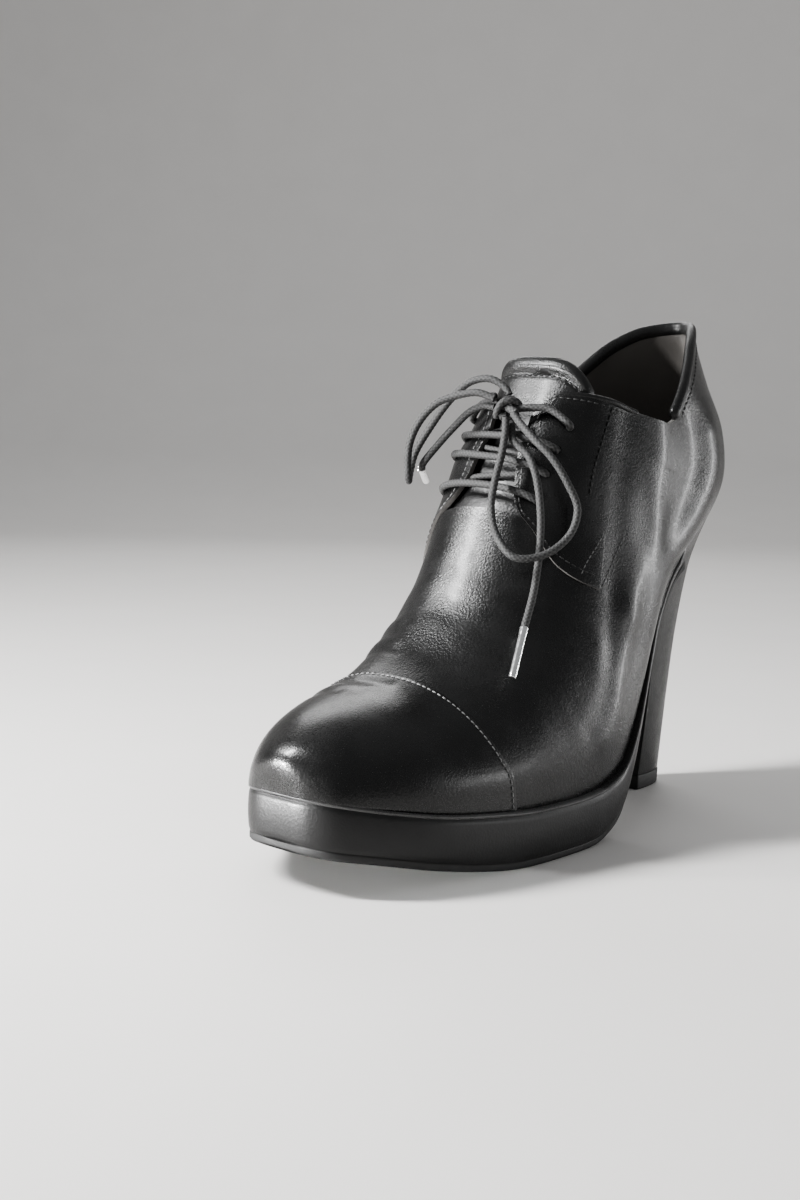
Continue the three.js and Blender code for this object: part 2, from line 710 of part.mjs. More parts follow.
// The rolled rim follows the collar from notch to notch round the back, standing on its edge.
const rimStart = 0.378; // place of its ends behind the notches, a share of lastLength
function rimGeometry() {
  const raise = rimDiameter / 2 + clearance + 0.15;
  const sidePoints = (side) => {
    const points = [];
    for (let station = 11.6; station <= 15; station += 0.02) {
      let [low, high] = [0.47, 1];
      const over = (round) => {
        const point = skinPoint(station, side * round, -wall / 2);
        return point.z - collarHeight(point.y);
      };
      if (over(low) < 0 || over(high) > 0) continue;
      for (let i = 0; i < 24; i++) {
        const middle = (low + high) / 2;
        if (over(middle) > 0) low = middle;
        else high = middle;
      }
      const point = skinPoint(station, side * low, -wall / 2);
      if (point.y / lastLength > rimStart) points.push(point);
    }
    return evenly(points, 14);
  };
  const outer = sidePoints(1);
  const inner = sidePoints(-1);
  const path = [...outer, ...inner.reverse()];
  const raised = path.map((point) => {
    const step = 1.5;
    const slope = (collarHeight(point.y + step) - collarHeight(point.y - step)) / (2 * step);
    const length = Math.hypot(1, slope);
    return new THREE.Vector3(point.x, point.y - (slope / length) * raise, point.z + raise / length);
  });
  return tube(raised, rimDiameter, 36);
}

// The tongue lies under the facings, from beneath the vamp to its padded top edge.
function tongueSolid() {
  const face = -wall - tongueClearance;
  const place = (a, b) => {
    const start = tongueSides[0].station;
    const roundAt = (station) => mix(read(tongueSides, "station", "inner", station),
      read(tongueSides, "station", "outer", station), a);
    const end = read(tongueTop, "round", "station", roundAt(tongueSides.at(-1).station));
    const station = mix(start, end, b);
    return [station, roundAt(station)];
  };
  const roll = (a, b) => tongueRoll * (1 - Math.abs(2 * a - 1) ** 3)
    * Math.sqrt(Math.max(0, 1 - ((b - 0.95) / 0.055) ** 2));
  return plate(place, (a, b) => face - tongueThickness - roll(a, b) / 2, (a, b) => face + roll(a, b), 8, 18);
}

// A bar of lace lies over the facings from one eyelet of a pair to the other.
function barPoints(pair) {
  const [from, to] = [eyelets.inner[pair], eyelets.outer[pair]];
  return Array.from({ length: 9 }, (_, i) => {
    const share = i / 8;
    return skinPoint(mix(from.station, to.station, share), mix(from.round, to.round, share), laceLift);
  });
}

// The knot is a lump with the topmost crossing of the lace run into it from both sides.
const knotCentre = skinPoint(knotPlace.station, knotPlace.round, knotPlace.lift);
const bowPoint = (row) => new THREE.Vector3(row.out, row.back, row.up).multiplyScalar(bowReach).add(knotCentre);
function knotSolid() {
  const lump = new THREE.SphereGeometry(0.5, 16, 10)
    .scale(knotSize.across, knotSize.deep, knotSize.high)
    .translate(knotCentre.x, knotCentre.y, knotCentre.z);
  const aside = (side) => {
    const hole = eyelets[side][0];
    const towards = side === "outer" ? 1 : -1;
    const start = knotCentre.clone().add(new THREE.Vector3(0, 0.6, 0));
    const shoulder = skinPoint(hole.station + 0.45, hole.round - towards * 0.08, laceLift + 1.2);
    return tube([start, knotCentre.clone().lerp(shoulder, 0.6).add(new THREE.Vector3(0, 0, 0.5)), shoulder,
      skinPoint(hole.station, hole.round, laceLift)], laceDiameter, 14);
  };
  return solidOf(lump).add(solidOf(aside("outer"))).add(solidOf(aside("inner")));
}

// A free end of the lace, and the metal tip pressed round it.
function endPieces(rows) {
  const points = rows.map(bowPoint);
  const [last, tip] = points.slice(-2);
  const start = last.clone().add(tip.clone().sub(last).setLength(agletGap));
  return {
    lace: tube(points.slice(0, -1), laceDiameter, 20),
    aglet: cylinderBetween(start, tip, agletDiameter / 2, 12),
  };
}

const material = {
  leather: new THREE.MeshStandardMaterial({ color: 0x141414, roughness: 0.38, metalness: 0 }),
  lining: new THREE.MeshStandardMaterial({ color: 0x1c1a19, roughness: 0.8, metalness: 0 }),
  edge: new THREE.MeshStandardMaterial({ color: 0x26221f, roughness: 0.5, metalness: 0 }),
  rubber: new THREE.MeshStandardMaterial({ color: 0x101010, roughness: 0.75, metalness: 0 }),
  cord: new THREE.MeshStandardMaterial({ color: 0x1b1b1b, roughness: 0.85, metalness: 0 }),
  metal: new THREE.MeshStandardMaterial({ color: 0xb9bcc0, roughness: 0.25, metalness: 1 }),
};

const boot = new THREE.Group();

function addGeometry(name, geometry, finish) {
  const mesh = new THREE.Mesh(geometry, finish);
  mesh.name = name;
  boot.add(mesh);
}
function addSolid(name, solid, finish) {
  const made = solid.simplify(faceting).getMesh();
  const geometry = new THREE.BufferGeometry();
  geometry.setAttribute("position", new THREE.BufferAttribute(made.vertProperties, 3));
  geometry.setIndex(new THREE.BufferAttribute(made.triVerts, 1));
  geometry.computeVertexNormals();
  addGeometry(name, geometry, finish);
}

addSolid("outsole", outsoleSolid(), material.rubber);
addSolid("platform", platformSolid(), material.leather);
addSolid("welt", weltSolid(), material.edge);
addSolid("heel", heelSolid(), material.leather);
addSolid("heel_tip", heelTipSolid(), material.rubber);
addSolid("upper", upperSolid(), material.leather);
addSolid("tongue", tongueSolid(), material.leather);
addSolid("insole", insoleSolid(), material.lining);
addGeometry("collar_rim", rimGeometry(), material.leather);

for (const pair of [1, 2, 3]) addGeometry(`lace_bar_${pair}`, tube(barPoints(pair), laceDiameter, 10), material.cord);
addSolid("lace_knot", knotSolid(), material.cord);
addGeometry("lace_loop_outer", tube(loopOuter.map(bowPoint), laceDiameter, 38), material.cord);
addGeometry("lace_loop_inner", tube(loopInner.map(bowPoint), laceDiameter, 32), material.cord);
const outerEnd = endPieces(endOuter);
addGeometry("lace_end_outer", outerEnd.lace, material.cord);
addGeometry("aglet_outer", outerEnd.aglet, material.metal);
const innerEnd = endPieces(endInner);
addGeometry("lace_end_inner", innerEnd.lace, material.cord);
addGeometry("aglet_inner", innerEnd.aglet, material.metal);

export default boot;
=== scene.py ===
import math

import bpy
import numpy as np
from mathutils import Matrix, Vector


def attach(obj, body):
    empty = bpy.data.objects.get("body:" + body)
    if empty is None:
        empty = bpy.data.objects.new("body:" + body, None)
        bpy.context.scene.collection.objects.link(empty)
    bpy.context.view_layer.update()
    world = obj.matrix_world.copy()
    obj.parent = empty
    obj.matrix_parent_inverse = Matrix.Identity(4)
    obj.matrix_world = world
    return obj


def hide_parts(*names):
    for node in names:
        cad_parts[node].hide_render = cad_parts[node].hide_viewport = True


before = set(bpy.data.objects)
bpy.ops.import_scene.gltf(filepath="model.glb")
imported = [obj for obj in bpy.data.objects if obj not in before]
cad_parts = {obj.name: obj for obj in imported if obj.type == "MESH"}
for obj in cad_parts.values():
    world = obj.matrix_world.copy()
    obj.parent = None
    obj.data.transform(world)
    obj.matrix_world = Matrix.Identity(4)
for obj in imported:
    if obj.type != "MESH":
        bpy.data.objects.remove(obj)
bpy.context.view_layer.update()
MM = 0.001

# Camera at the photograph's place, in millimetres from the ball of the foot
camera_place = Vector((313.5, -390.2, 137.7)) * MM
camera_right = Vector((0.75244, 0.65837, 0.01954))
camera_up = Vector((-0.08641, 0.06927, 0.99385))
camera_back = Vector((0.65296, -0.7495, 0.10901))
lens = bpy.data.cameras.new("camera")
lens.sensor_fit = "VERTICAL"
lens.sensor_height = 36
lens.lens = 43.29
lens.clip_start = 0.01
camera = bpy.data.objects.new("camera", lens)
bpy.context.scene.collection.objects.link(camera)
turn = Matrix((camera_right, camera_up, camera_back)).transposed().to_4x4()
camera.matrix_world = Matrix.Translation(camera_place) @ turn
bpy.context.scene.camera = camera

# Sizes of the last, in millimetres
last_length = 240
ball_width = 88
platform_height = 19.2
toe_spring = 10.8
flat_ease = 2.5
flat_drop = 0.37
seat_rise = 91.8
collar_rise = 74

# Sole centre line: place, toe, seat and thickness as shares of length, spring, rise and height
SOLE = np.array([
    (-0.4, 1.15, 0, 0.91), (-0.358, 1, 0, 0.91), (-0.292, 0.68, 0, 0.89), (-0.208, 0.35, 0, 0.93),
    (-0.125, 0.15, 0, 0.99), (-0.06, 0.03, 0, 1.03), (0.04, 0, 0, 1.03), (0.08, 0, 0.005, 1.03),
    (0.117, 0, 0.018, 0.98), (0.175, 0, 0.074, 0.86), (0.229, 0, 0.205, 0.62),
    (0.279, 0, 0.368, 0.48), (0.329, 0, 0.554, 0.43), (0.383, 0, 0.75, 0.42),
    (0.442, 0, 0.891, 0.42), (0.504, 0, 0.962, 0.42), (0.567, 0, 1, 0.42), (0.64, 0, 1.027, 0.42),
])

# Sections of the last: station; ridge x, place, rise; base x, place, rise; outer and inner half
# width; share of the way down where it is widest; powers of the upper and lower half
LAST = np.array([
    (0, 0.034, -0.3625, 0.07, 0.034, -0.3625, 0.037, 0.046, -0.022, 0.6, 2, 2),
    (0.5, 0.034, -0.359, 0.152, 0.034, -0.361, -0.097, 0.153, 0.102, 0.6, 2.1, 2.8),
    (1, 0.023, -0.34, 0.222, 0.034, -0.348, -0.149, 0.244, 0.176, 0.62, 2.2, 3.2),
    (2, 0, -0.292, 0.326, 0.023, -0.3, -0.154, 0.324, 0.273, 0.66, 2.3, 3.8),
    (3, -0.034, -0.229, 0.419, 0.011, -0.233, -0.142, 0.398, 0.352, 0.68, 2.3, 4.2),
    (4, -0.068, -0.158, 0.503, 0.011, -0.154, -0.126, 0.455, 0.415, 0.7, 2.2, 4.4),
    (5, -0.085, -0.092, 0.627, 0.011, -0.058, -0.116, 0.5, 0.46, 0.72, 2.1, 4.4),
    (6, -0.091, -0.033, 0.801, 0.011, 0.054, -0.111, 0.52, 0.483, 0.76, 2.1, 4.4),
    (7, -0.085, 0.017, 0.926, 0, 0.175, -0.135, 0.511, 0.489, 0.76, 2.1, 4.2),
    (8, -0.068, 0.056, 0.745, -0.011, 0.292, -0.16, 0.455, 0.477, 0.7, 2.3, 3.6),
    (9, -0.045, 0.0875, 0.467, -0.023, 0.4, -0.182, 0.403, 0.4375, 0.6, 2.6, 3.2),
    (10, -0.028, 0.1125, 0.404, -0.011, 0.533, -0.136, 0.375, 0.398, 0.52, 2.9, 3),
    (11, -0.017, 0.135, 0.481, 0.011, 0.629, 0.103, 0.364, 0.364, 0.48, 3, 2.9),
    (12, -0.011, 0.158, 0.618, 0.028, 0.644, 0.382, 0.352, 0.335, 0.44, 3.1, 2.5),
    (13, -0.006, 0.179, 0.769, 0.045, 0.617, 0.661, 0.335, 0.301, 0.38, 3.1, 1.9),
    (14, 0, 0.196, 0.926, 0.057, 0.577, 0.939, 0.324, 0.278, 0.33, 3.1, 1.7),
    (15, 0, 0.208, 1.101, 0.057, 0.554, 1.182, 0.318, 0.273, 0.32, 3.1, 1.7),
])

# Collar edge from the side: place as a share of length, height above the seat as a share
COLLAR = np.array([
    (0.05, 0.3), (0.129, 0.48), (0.145, 0.56), (0.16, 0.603), (0.183, 0.595), (0.217, 0.572),
    (0.262, 0.532), (0.308, 0.497), (0.346, 0.476), (0.362, 0.473), (0.383, 0.52),
    (0.433, 0.709), (0.483, 0.872), (0.525, 0.959), (0.567, 0.993), (0.64, 1),
])

# Places round the ring run from 0 on the ridge to 1 at the base, inner side negative
CAP_SEAM = np.array([
    (-1, 4.55), (-0.5, 4.5), (-0.4, 4.36), (-0.3, 4.22), (-0.125, 4.14), (0.01, 4.25),
    (0.11, 4.32), (0.238, 4.4), (0.328, 4.49), (0.403, 4.61), (0.472, 4.74), (1, 4.8),
])
THROAT = np.array([
    (8.15, 0.125, -0.145), (8.4, 0.095, -0.09), (8.8, 0.075, -0.06), (9.4, 0.056, -0.042),
    (10.2, 0.045, -0.038), (10.9, 0.04, -0.05), (11.4, 0.062, -0.075), (11.8, 0.115, -0.125),
    (12.4, 0.2, -0.21),
])
FACING_LOWER = np.array([
    (0.125, -0.145, 8.15), (0.167, -0.195, 8), (0.22, -0.243, 7.8), (0.258, -0.28, 7.78),
    (0.3, -0.322, 7.84), (0.357, -0.375, 7.98),
])
facing_rear_top = 0.4
EYELETS = {
    1: [(10.66, 0.17), (9.78, 0.16), (9.15, 0.153), (8.58, 0.147)],
    -1: [(10.85, -0.185), (10.18, -0.187), (9.5, -0.193), (8.78, -0.2)],
}
vamp_end = 8.15
throat_top = 12.4
SIDES = {"outer": 1, "inner": -1}


def read(xs, ys, at):
    """A smooth curve through the points, as in the part."""
    at = np.asarray(at, float)
    slopes = np.empty(len(xs))
    for i in range(len(xs)):
        low, high = max(i - 1, 0), min(i + 1, len(xs) - 1)
        slopes[i] = (ys[high] - ys[low]) / (xs[high] - xs[low])
    i = np.clip(np.searchsorted(xs, at, side="right") - 1, 0, len(xs) - 2)
    span = xs[i + 1] - xs[i]
    t = np.clip((at - xs[i]) / span, 0, 1)
    start = (2 * t**3 - 3 * t**2 + 1) * ys[i] + (t**3 - 2 * t**2 + t) * span * slopes[i]
    return start + (3 * t**2 - 2 * t**3) * ys[i + 1] + (t**3 - t**2) * span * slopes[i + 1]


def look_up(table, k, at):
    """Column k of a table, read smoothly by its first column."""
    return read(table[:, 0], table[:, k], at)


def smooth(at, low, high):
    t = np.clip((np.asarray(at, float) - low) / (high - low), 0, 1)
    return t * t * (3 - 2 * t)


def sole_top(y):
    place = np.asarray(y, float) / last_length
    spring = toe_spring * look_up(SOLE, 1, place)
    return platform_height + spring + seat_rise * look_up(SOLE, 2, place)


def sole_under(y):
    thick = platform_height * look_up(SOLE, 3, np.asarray(y, float) / last_length)
    above = sole_top(y) - thick
    eased = np.where(above < flat_ease, (above + flat_ease) ** 2 / (4 * flat_ease), above)
    return np.maximum(0, eased - flat_drop)


def collar_height(y):
    rise = np.interp(np.asarray(y, float) / last_length, COLLAR[:, 0], COLLAR[:, 1])
    return platform_height + seat_rise + rise * collar_rise


def paired(one, other):
    return np.broadcast_arrays(np.asarray(one, float), np.asarray(other, float))


def last_point(station, around):
    station, around = paired(station, around)
    column = [look_up(LAST, k, station) for k in range(1, 12)]
    ridge_x, ridge_y, ridge_z, base_x, base_y, base_z, outer, inner, widest, top, bottom = column
    base_y = base_y * last_length
    lift = sole_top(base_y)
    upper = np.abs(around) <= 0.5
    angle = np.where(upper, np.abs(around), np.abs(around) - 0.5) * np.pi
    power = 2 / np.where(upper, top, bottom)
    sine = np.abs(np.sin(angle)) ** power
    cosine = np.abs(np.cos(angle)) ** power
    wide = np.where(upper, sine, cosine)
    down = np.where(upper, widest * (1 - cosine), widest + (1 - widest) * sine)
    half = np.where(around < 0, -inner, outer) * ball_width
    x = np.where(upper, ridge_x, base_x) * ball_width * (1 - wide) + half * wide
    y = ridge_y * last_length * (1 - down) + base_y * down
    z = lift + collar_rise * (ridge_z * (1 - down) + base_z * down)
    return np.stack([x, y, z], -1)


def last_normal(station, around):
    station, around = paired(station, around)
    wrap = lambda a: np.where(a > 1, a - 2, np.where(a < -1, a + 2, a))
    along = last_point(np.minimum(station + 0.04, 15), around)
    along = along - last_point(np.maximum(station - 0.04, 0), around)
    across = last_point(station, wrap(around + 0.01)) - last_point(station, wrap(around - 0.01))
    normal = np.cross(across, along)
    return normal / (np.linalg.norm(normal, axis=-1, keepdims=True) + 1e-12)


# Soft waves and creases of the worn leather: height, width and course over the last, in
# millimetres and stations with places round the ring
WAVES = [
    (1.4, 8.0, [(12.3, 0.455), (10.6, 0.478), (9.26, 0.505), (8.76, 0.492), (8.18, 0.462)]),
    (0.9, 6.5, [(8.18, 0.462), (7.6, 0.452), (7.2, 0.46), (6.8, 0.468)]),
    (-1.3, 8.5, [(12.2, 0.532), (11, 0.543), (10, 0.55), (9.5, 0.556)]),
    (1.3, 8.5, [(11.8, 0.618), (10.6, 0.622), (9.75, 0.625), (9.1, 0.585), (8.6, 0.54)]),
    (-0.8, 7.0, [(11.4, 0.37), (9.9, 0.385), (8.9, 0.4), (8.3, 0.395)]),
    (-0.7, 5.5, [(8.1, 0.41), (7.6, 0.42), (7.1, 0.435), (6.6, 0.445)]),
    (0.5, 5.5, [(7.44, 0.39), (7, 0.41), (6.4, 0.43)]),
    (1.2, 8.0, [(12.2, -0.46), (10.6, -0.49), (9.2, -0.5), (8.3, -0.47)]),
    (-1.0, 8.0, [(12, -0.535), (10.6, -0.55), (9.5, -0.56)]),
    (1.1, 8.5, [(11.6, -0.61), (10.4, -0.62), (9.3, -0.59), (8.6, -0.54)]),
    (1.2, 8.0, [(0.3, -0.04), (0.3, 0.06)]),
    (-0.4, 1.8, [(5.35, -0.26), (5.2, -0.14), (5.02, 0.0)]),
    (-0.35, 2.2, [(5.9, -0.3), (5.72, -0.19), (5.55, -0.07)]),
    (-0.3, 2.4, [(6.5, -0.3), (6.3, -0.22), (6.15, -0.13)]),
    (0.35, 2.4, [(5.62, -0.3), (5.45, -0.17), (5.3, -0.04)]),
    (0.35, 2.6, [(6.2, -0.28), (6.02, -0.19), (5.88, -0.1)]),
    (-0.12, 4.0, [(5.15, 0.38), (5.3, 0.31), (5.4, 0.22)]),
    (-0.1, 4.0, [(5.9, 0.38), (5.95, 0.31), (5.9, 0.22)]),
    (-0.4, 2.2, [(3.95, -0.16), (3.82, -0.05), (3.9, 0.06)]),
    (0.35, 2.2, [(3.6, -0.2), (3.5, -0.1), (3.55, 0.02)]),
    (-0.3, 2.2, [(3.35, -0.24), (3.2, -0.14), (3.2, -0.04)]),
]


def strip_distance(points, course):
    """Distance of each point from a course over the last, in millimetres."""
    spots = np.asarray(course, float)
    fine = np.linspace(0, 1, 4 * (len(spots) - 1) + 1) * (len(spots) - 1)
    at = np.stack([read(np.arange(len(spots)), spots[:, k], fine) for k in range(2)], -1)
    line = last_point(at[:, 0], at[:, 1])
    best = np.full(len(points), 1e9)
    for start, end in zip(line[:-1], line[1:]):
        way = end - start
        share = np.clip((points - start) @ way / (way @ way), 0, 1)
        gap = np.linalg.norm(points - start - share[:, None] * way, axis=1)
        best = np.minimum(best, gap)
    return best


def waves_at(points):
    """How far the waves and creases lift the leather at points of the last."""
    rise = np.zeros(len(points))
    for height, width, course in WAVES:
        rise += height * np.exp(-((strip_distance(points, course) / width) ** 2))
    return rise


def skin(station, around, offset, relief=True):
    """Points that stand off the last, with its waves and creases."""
    station, around = paired(station, around)
    points = last_point(station, around)
    total = np.zeros(points.shape[:-1]) + offset
    if relief:
        total = total + waves_at(points.reshape(-1, 3)).reshape(total.shape)
    return points + last_normal(station, around) * total[..., None]


def feather(station):
    """Place round the ring where the last meets the sole's top, on both sides."""
    out = []
    for side in (1, -1):
        low = np.full(np.shape(station), 0.45)
        high = np.ones(np.shape(station))
        for _ in range(26):
            middle = (low + high) / 2
            point = last_point(station, side * middle)
            above = point[..., 2] > sole_top(point[..., 1])
            low = np.where(above, middle, low)
            high = np.where(above, high, middle)
        out.append(low)
    return out


def meeting(inside, outside):
    for _ in range(30):
        middle = (inside + outside) / 2
        point = last_point(middle, 1)
        if point[2] < sole_top(point[1]):
            inside = middle
        else:
            outside = middle
    return inside


front_station = meeting(1.0, 0.0)
back_station = meeting(9.0, 11.0)


def walked(points):
    """How far along a line each of its points lies."""
    return np.r_[0, np.cumsum(np.linalg.norm(np.diff(points, axis=0), axis=1))]


def evenly(points, count):
    length = walked(points)
    at = np.linspace(0, length[-1], count + 1)
    return np.stack([np.interp(at, length, points[:, k]) for k in range(points.shape[1])], -1)


outline_steps = 150


def feather_side(side):
    share = (1 - np.cos(np.pi * np.linspace(0, 1, 481))) / 2
    station = front_station + (back_station - front_station) * share
    around = feather(station)[0 if side > 0 else 1] * side
    return evenly(last_point(station, around), outline_steps)


FEATHER = {side: feather_side(side) for side in (1, -1)}
loop = np.vstack([FEATHER[1], FEATHER[-1][1:-1][::-1]])
ahead = np.roll(loop, -1, axis=0) - np.roll(loop, 1, axis=0)
outward = np.stack([ahead[:, 1], -ahead[:, 0]], -1)
outward /= np.linalg.norm(outward, axis=1, keepdims=True)
OUTWARD = {1: outward[:outline_steps + 1]}
OUTWARD[-1] = np.vstack([outward[:1], outward[outline_steps:][::-1]])


def row_at(share, count):
    """The row, of count and a first one, at a share of the way."""
    return np.round(share * count).astype(int)


# Blender helpers
def choose(piece):
    bpy.ops.object.select_all(action="DESELECT")
    piece.select_set(True)
    bpy.context.view_layer.objects.active = piece


def triples(rows, key):
    """A mesh's corners, face centres or normals, three numbers to a row."""
    flat = np.empty(len(rows) * 3)
    rows.foreach_get(key, flat)
    return flat.reshape(-1, 3)


def new_sheet(name, columns, rows, place):
    """A grid primitive laid onto a surface, in millimetres."""
    bpy.ops.object.select_all(action="DESELECT")
    bpy.ops.mesh.primitive_grid_add(x_subdivisions=columns, y_subdivisions=rows, size=2)
    piece = bpy.context.object
    piece.name = name
    piece.data.name = name
    flat = triples(piece.data.vertices, "co")
    put = place((flat[:, 0] + 1) / 2, (flat[:, 1] + 1) / 2) * MM
    piece.data.vertices.foreach_set("co", put.ravel())
    piece.data.update()
    return piece


def edit(piece, work):
    """Does edit-mode work on a piece that is selected all over."""
    choose(piece)
    bpy.ops.object.mode_set(mode="EDIT")
    bpy.ops.mesh.select_all(action="SELECT")
    work()
    bpy.ops.object.mode_set(mode="OBJECT")


def face_outwards():
    bpy.ops.mesh.normals_make_consistent(inside=False)


def seal(piece, fill=True):
    """Merges doubled corners; fill also closes open ends and turns the faces outwards."""
    def work():
        bpy.ops.mesh.remove_doubles(threshold=2e-6)
        bpy.ops.mesh.dissolve_degenerate(threshold=1e-7)
        if fill:
            bpy.ops.mesh.select_all(action="DESELECT")
            bpy.ops.mesh.select_non_manifold(extend=False, use_multi_face=False)
            bpy.ops.mesh.fill_holes(sides=0)
            bpy.ops.mesh.select_all(action="SELECT")
            face_outwards()

    edit(piece, work)


def apply(piece, kind, **settings):
    choose(piece)
    modifier = piece.modifiers.new(kind.lower(), kind)
    for key, value in settings.items():
        setattr(modifier, key, value)
    bpy.ops.object.modifier_apply(modifier=modifier.name)


def thicken(piece, depth, **settings):
    for _ in range(3):
        piece.data.materials.append(None)
    apply(piece, "SOLIDIFY", thickness=depth * MM, offset=-1, use_even_offset=False, **settings)


def round_edges(piece, width, segments=3, angle=50):
    apply(piece, "BEVEL", width=width * MM, segments=segments, limit_method="ANGLE",
          angle_limit=math.radians(angle), use_clamp_overlap=True)


def soften(piece, angle=40):
    choose(piece)
    bpy.ops.object.shade_smooth_by_angle(angle=math.radians(angle))


def join(name, pieces):
    bpy.ops.object.select_all(action="DESELECT")
    for piece in pieces:
        piece.select_set(True)
    bpy.context.view_layer.objects.active = pieces[0]
    bpy.ops.object.join()
    pieces[0].name = name
    pieces[0].data.name = name
    return pieces[0]


def dress(piece, finish, slot, *nodes, more=(), angle=None):
    """Gives a piece its finishes and says what it stands for and rides on."""
    if angle:
        soften(piece, angle)
    finishes = [finish, *more]
    if piece.data.materials:
        for place in range(len(piece.data.materials)):
            piece.data.materials[place] = finishes[min(place, len(finishes) - 1)]
    else:
        piece.data.materials.append(finish)
    if nodes:
        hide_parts(*nodes)
    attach(piece, "root")


# Shader helpers
class Socket:
    """A node's output that takes part in Python sums."""

    def __init__(self, recipe, output):
        self.recipe = recipe
        self.output = output

    def __add__(self, other):
        return self.recipe.node("ShaderNodeMath", {"operation": "ADD"}, {0: self, 1: other})

    __radd__ = __add__


class Recipe:
    """A material and its shader nodes."""

    def __init__(self, name, **shader):
        self.material = bpy.data.materials.new(name)
        self.material.use_nodes = True
        self.tree = self.material.node_tree
        self.shader = self.tree.nodes["Principled BSDF"]
        for key, value in shader.items():
            self.feed(self.shader.inputs[key.replace("_", " ")], value)

    def feed(self, socket, value):
        if isinstance(value, Socket):
            self.tree.links.new(value.output, socket)
        else:
            socket.default_value = value

    def node(self, kind, settings=(), inputs=(), output=0):
        made = self.tree.nodes.new(kind)
        for key, value in dict(settings).items():
            setattr(made, key, value)
        for key, value in dict(inputs).items():
            self.feed(made.inputs[key], value)
        return Socket(self, made.outputs[output])

    def set(self, name, value):
        self.feed(self.shader.inputs[name], value)

    def place(self):
        return self.node("ShaderNodeTexCoord", output="Object")

    def noise(self, scale, detail, rough=0.5):
        return self.node("ShaderNodeTexNoise", inputs={
            "Vector": self.place(), "Scale": scale, "Detail": detail, "Roughness": rough})

    def cells(self, scale):
        return self.node("ShaderNodeTexVoronoi", {"feature": "F1"}, {
            "Vector": self.place(), "Scale": scale}, "Distance")

    def bump(self, height, distance, strength, below=None):
        inputs = {"Height": height, "Distance": distance, "Strength": strength}
        if below is not None:
            inputs["Normal"] = below
        return self.node("ShaderNodeBump", inputs=inputs)

    def blend(self, factor, one, two):
        return self.node("ShaderNodeMix", {"data_type": "RGBA"}, {0: factor, 6: one, 7: two}, 2)

    def span(self, value, low, high, to_low, to_high):
        return self.node("ShaderNodeMapRange", {"interpolation_type": "SMOOTHSTEP"}, {
            "Value": value, "From Min": low, "From Max": high, "To Min": to_low, "To Max": to_high})


def grey(value, warm=0.0):
    return (value * (1 + warm), value, value * (1 - warm), 1)


def leather(name, colour, gloss, grain, polish):
    """Black calf leather: fine pores, faint cloudy dye and a waxed top."""
    made = Recipe(name)
    clouds = made.noise(38, 3)
    pores = made.cells(1150)
    fine = made.noise(2300, 3, rough=0.65)
    rubbed = made.noise(210, 4, rough=0.6)
    made.set("Base Color", made.blend(made.span(clouds, 0.35, 0.7, 0, 1), grey(colour),
                                      grey(colour * 1.9)))
    rough = made.span(clouds, 0.3, 0.7, gloss - 0.03, gloss + 0.05)
    made.set("Roughness", rough + made.span(rubbed, 0.35, 0.75, -0.03, 0.05)
             + made.span(fine, 0.35, 0.65, -0.05, 0.07))
    low = made.bump(pores, 0.00012 * grain, 0.6)
    made.set("Normal", made.bump(fine, 0.00013 * grain, 0.6, low))
    made.set("Specular IOR Level", 0.34)
    made.set("Coat Weight", polish)
    made.set("Coat Roughness", 0.16)
    made.set("Coat IOR", 1.45)
    return made.material


black_leather = leather("black_leather", 0.005, 0.27, 1.0, 0.12)
cap_leather = leather("polished_cap_leather", 0.004, 0.25, 0.6, 0.2)
sole_leather = leather("platform_leather", 0.004, 0.38, 0.5, 0.05)
collar_leather = leather("soft_collar_leather", 0.006, 0.34, 1.2, 0.08)
# The bead's leather is painted lighter than the rest: a painted highlight along the platform's top
# edge
bead_leather_painted_highlight = leather("bead_leather_painted_highlight", 0.03, 0.3, 0.4, 0.3)


def plain_finish(name, marks, tones, rough, relief, blotches=None, fine=None, **shader):
    """A finish whose colour, gloss and relief follow noise; fine noise may make the relief."""
    made = Recipe(name, **shader)
    pattern = made.noise(*marks)
    share = made.span(pattern, *blotches, 0, 1) if blotches else pattern
    made.set("Base Color", made.blend(share, *tones))
    if rough:
        made.set("Roughness", made.span(pattern, *rough))
    made.set("Normal", made.bump(made.noise(*fine) if fine else pattern, *relief))
    return made.material


def thread_finish(name, colour):
    return plain_finish(name, (5200, 2), (grey(colour), grey(colour * 2.1)),
                        (0.3, 0.7, 0.5, 0.68), (0.00005, 0.6))


def cord_finish():
    """Waxed braided cotton: strands are in the mesh, fibres in the bump; the hollows between
    strands are painted darker and the crests lighter, as painted shade.
    """
    made = Recipe("braided_lace")
    fibres = made.noise(6000, 3, rough=0.7)
    strand_shade_mask = made.node("ShaderNodeAttribute", {"attribute_name": "strand_shade_mask"}, output="Fac")
    # Painted shade: dark in the hollows between strands, lighter on their crests
    tone = made.blend(made.span(strand_shade_mask, 0.1, 0.9, 0, 1), grey(0.008), grey(0.052))
    made.set("Base Color", made.blend(made.span(fibres, 0.45, 0.75, 0, 0.5), tone, grey(0.1)))
    made.set("Roughness", made.span(fibres, 0.3, 0.7, 0.55, 0.8))
    made.set("Normal", made.bump(fibres, 0.00012, 0.7))
    return made.material
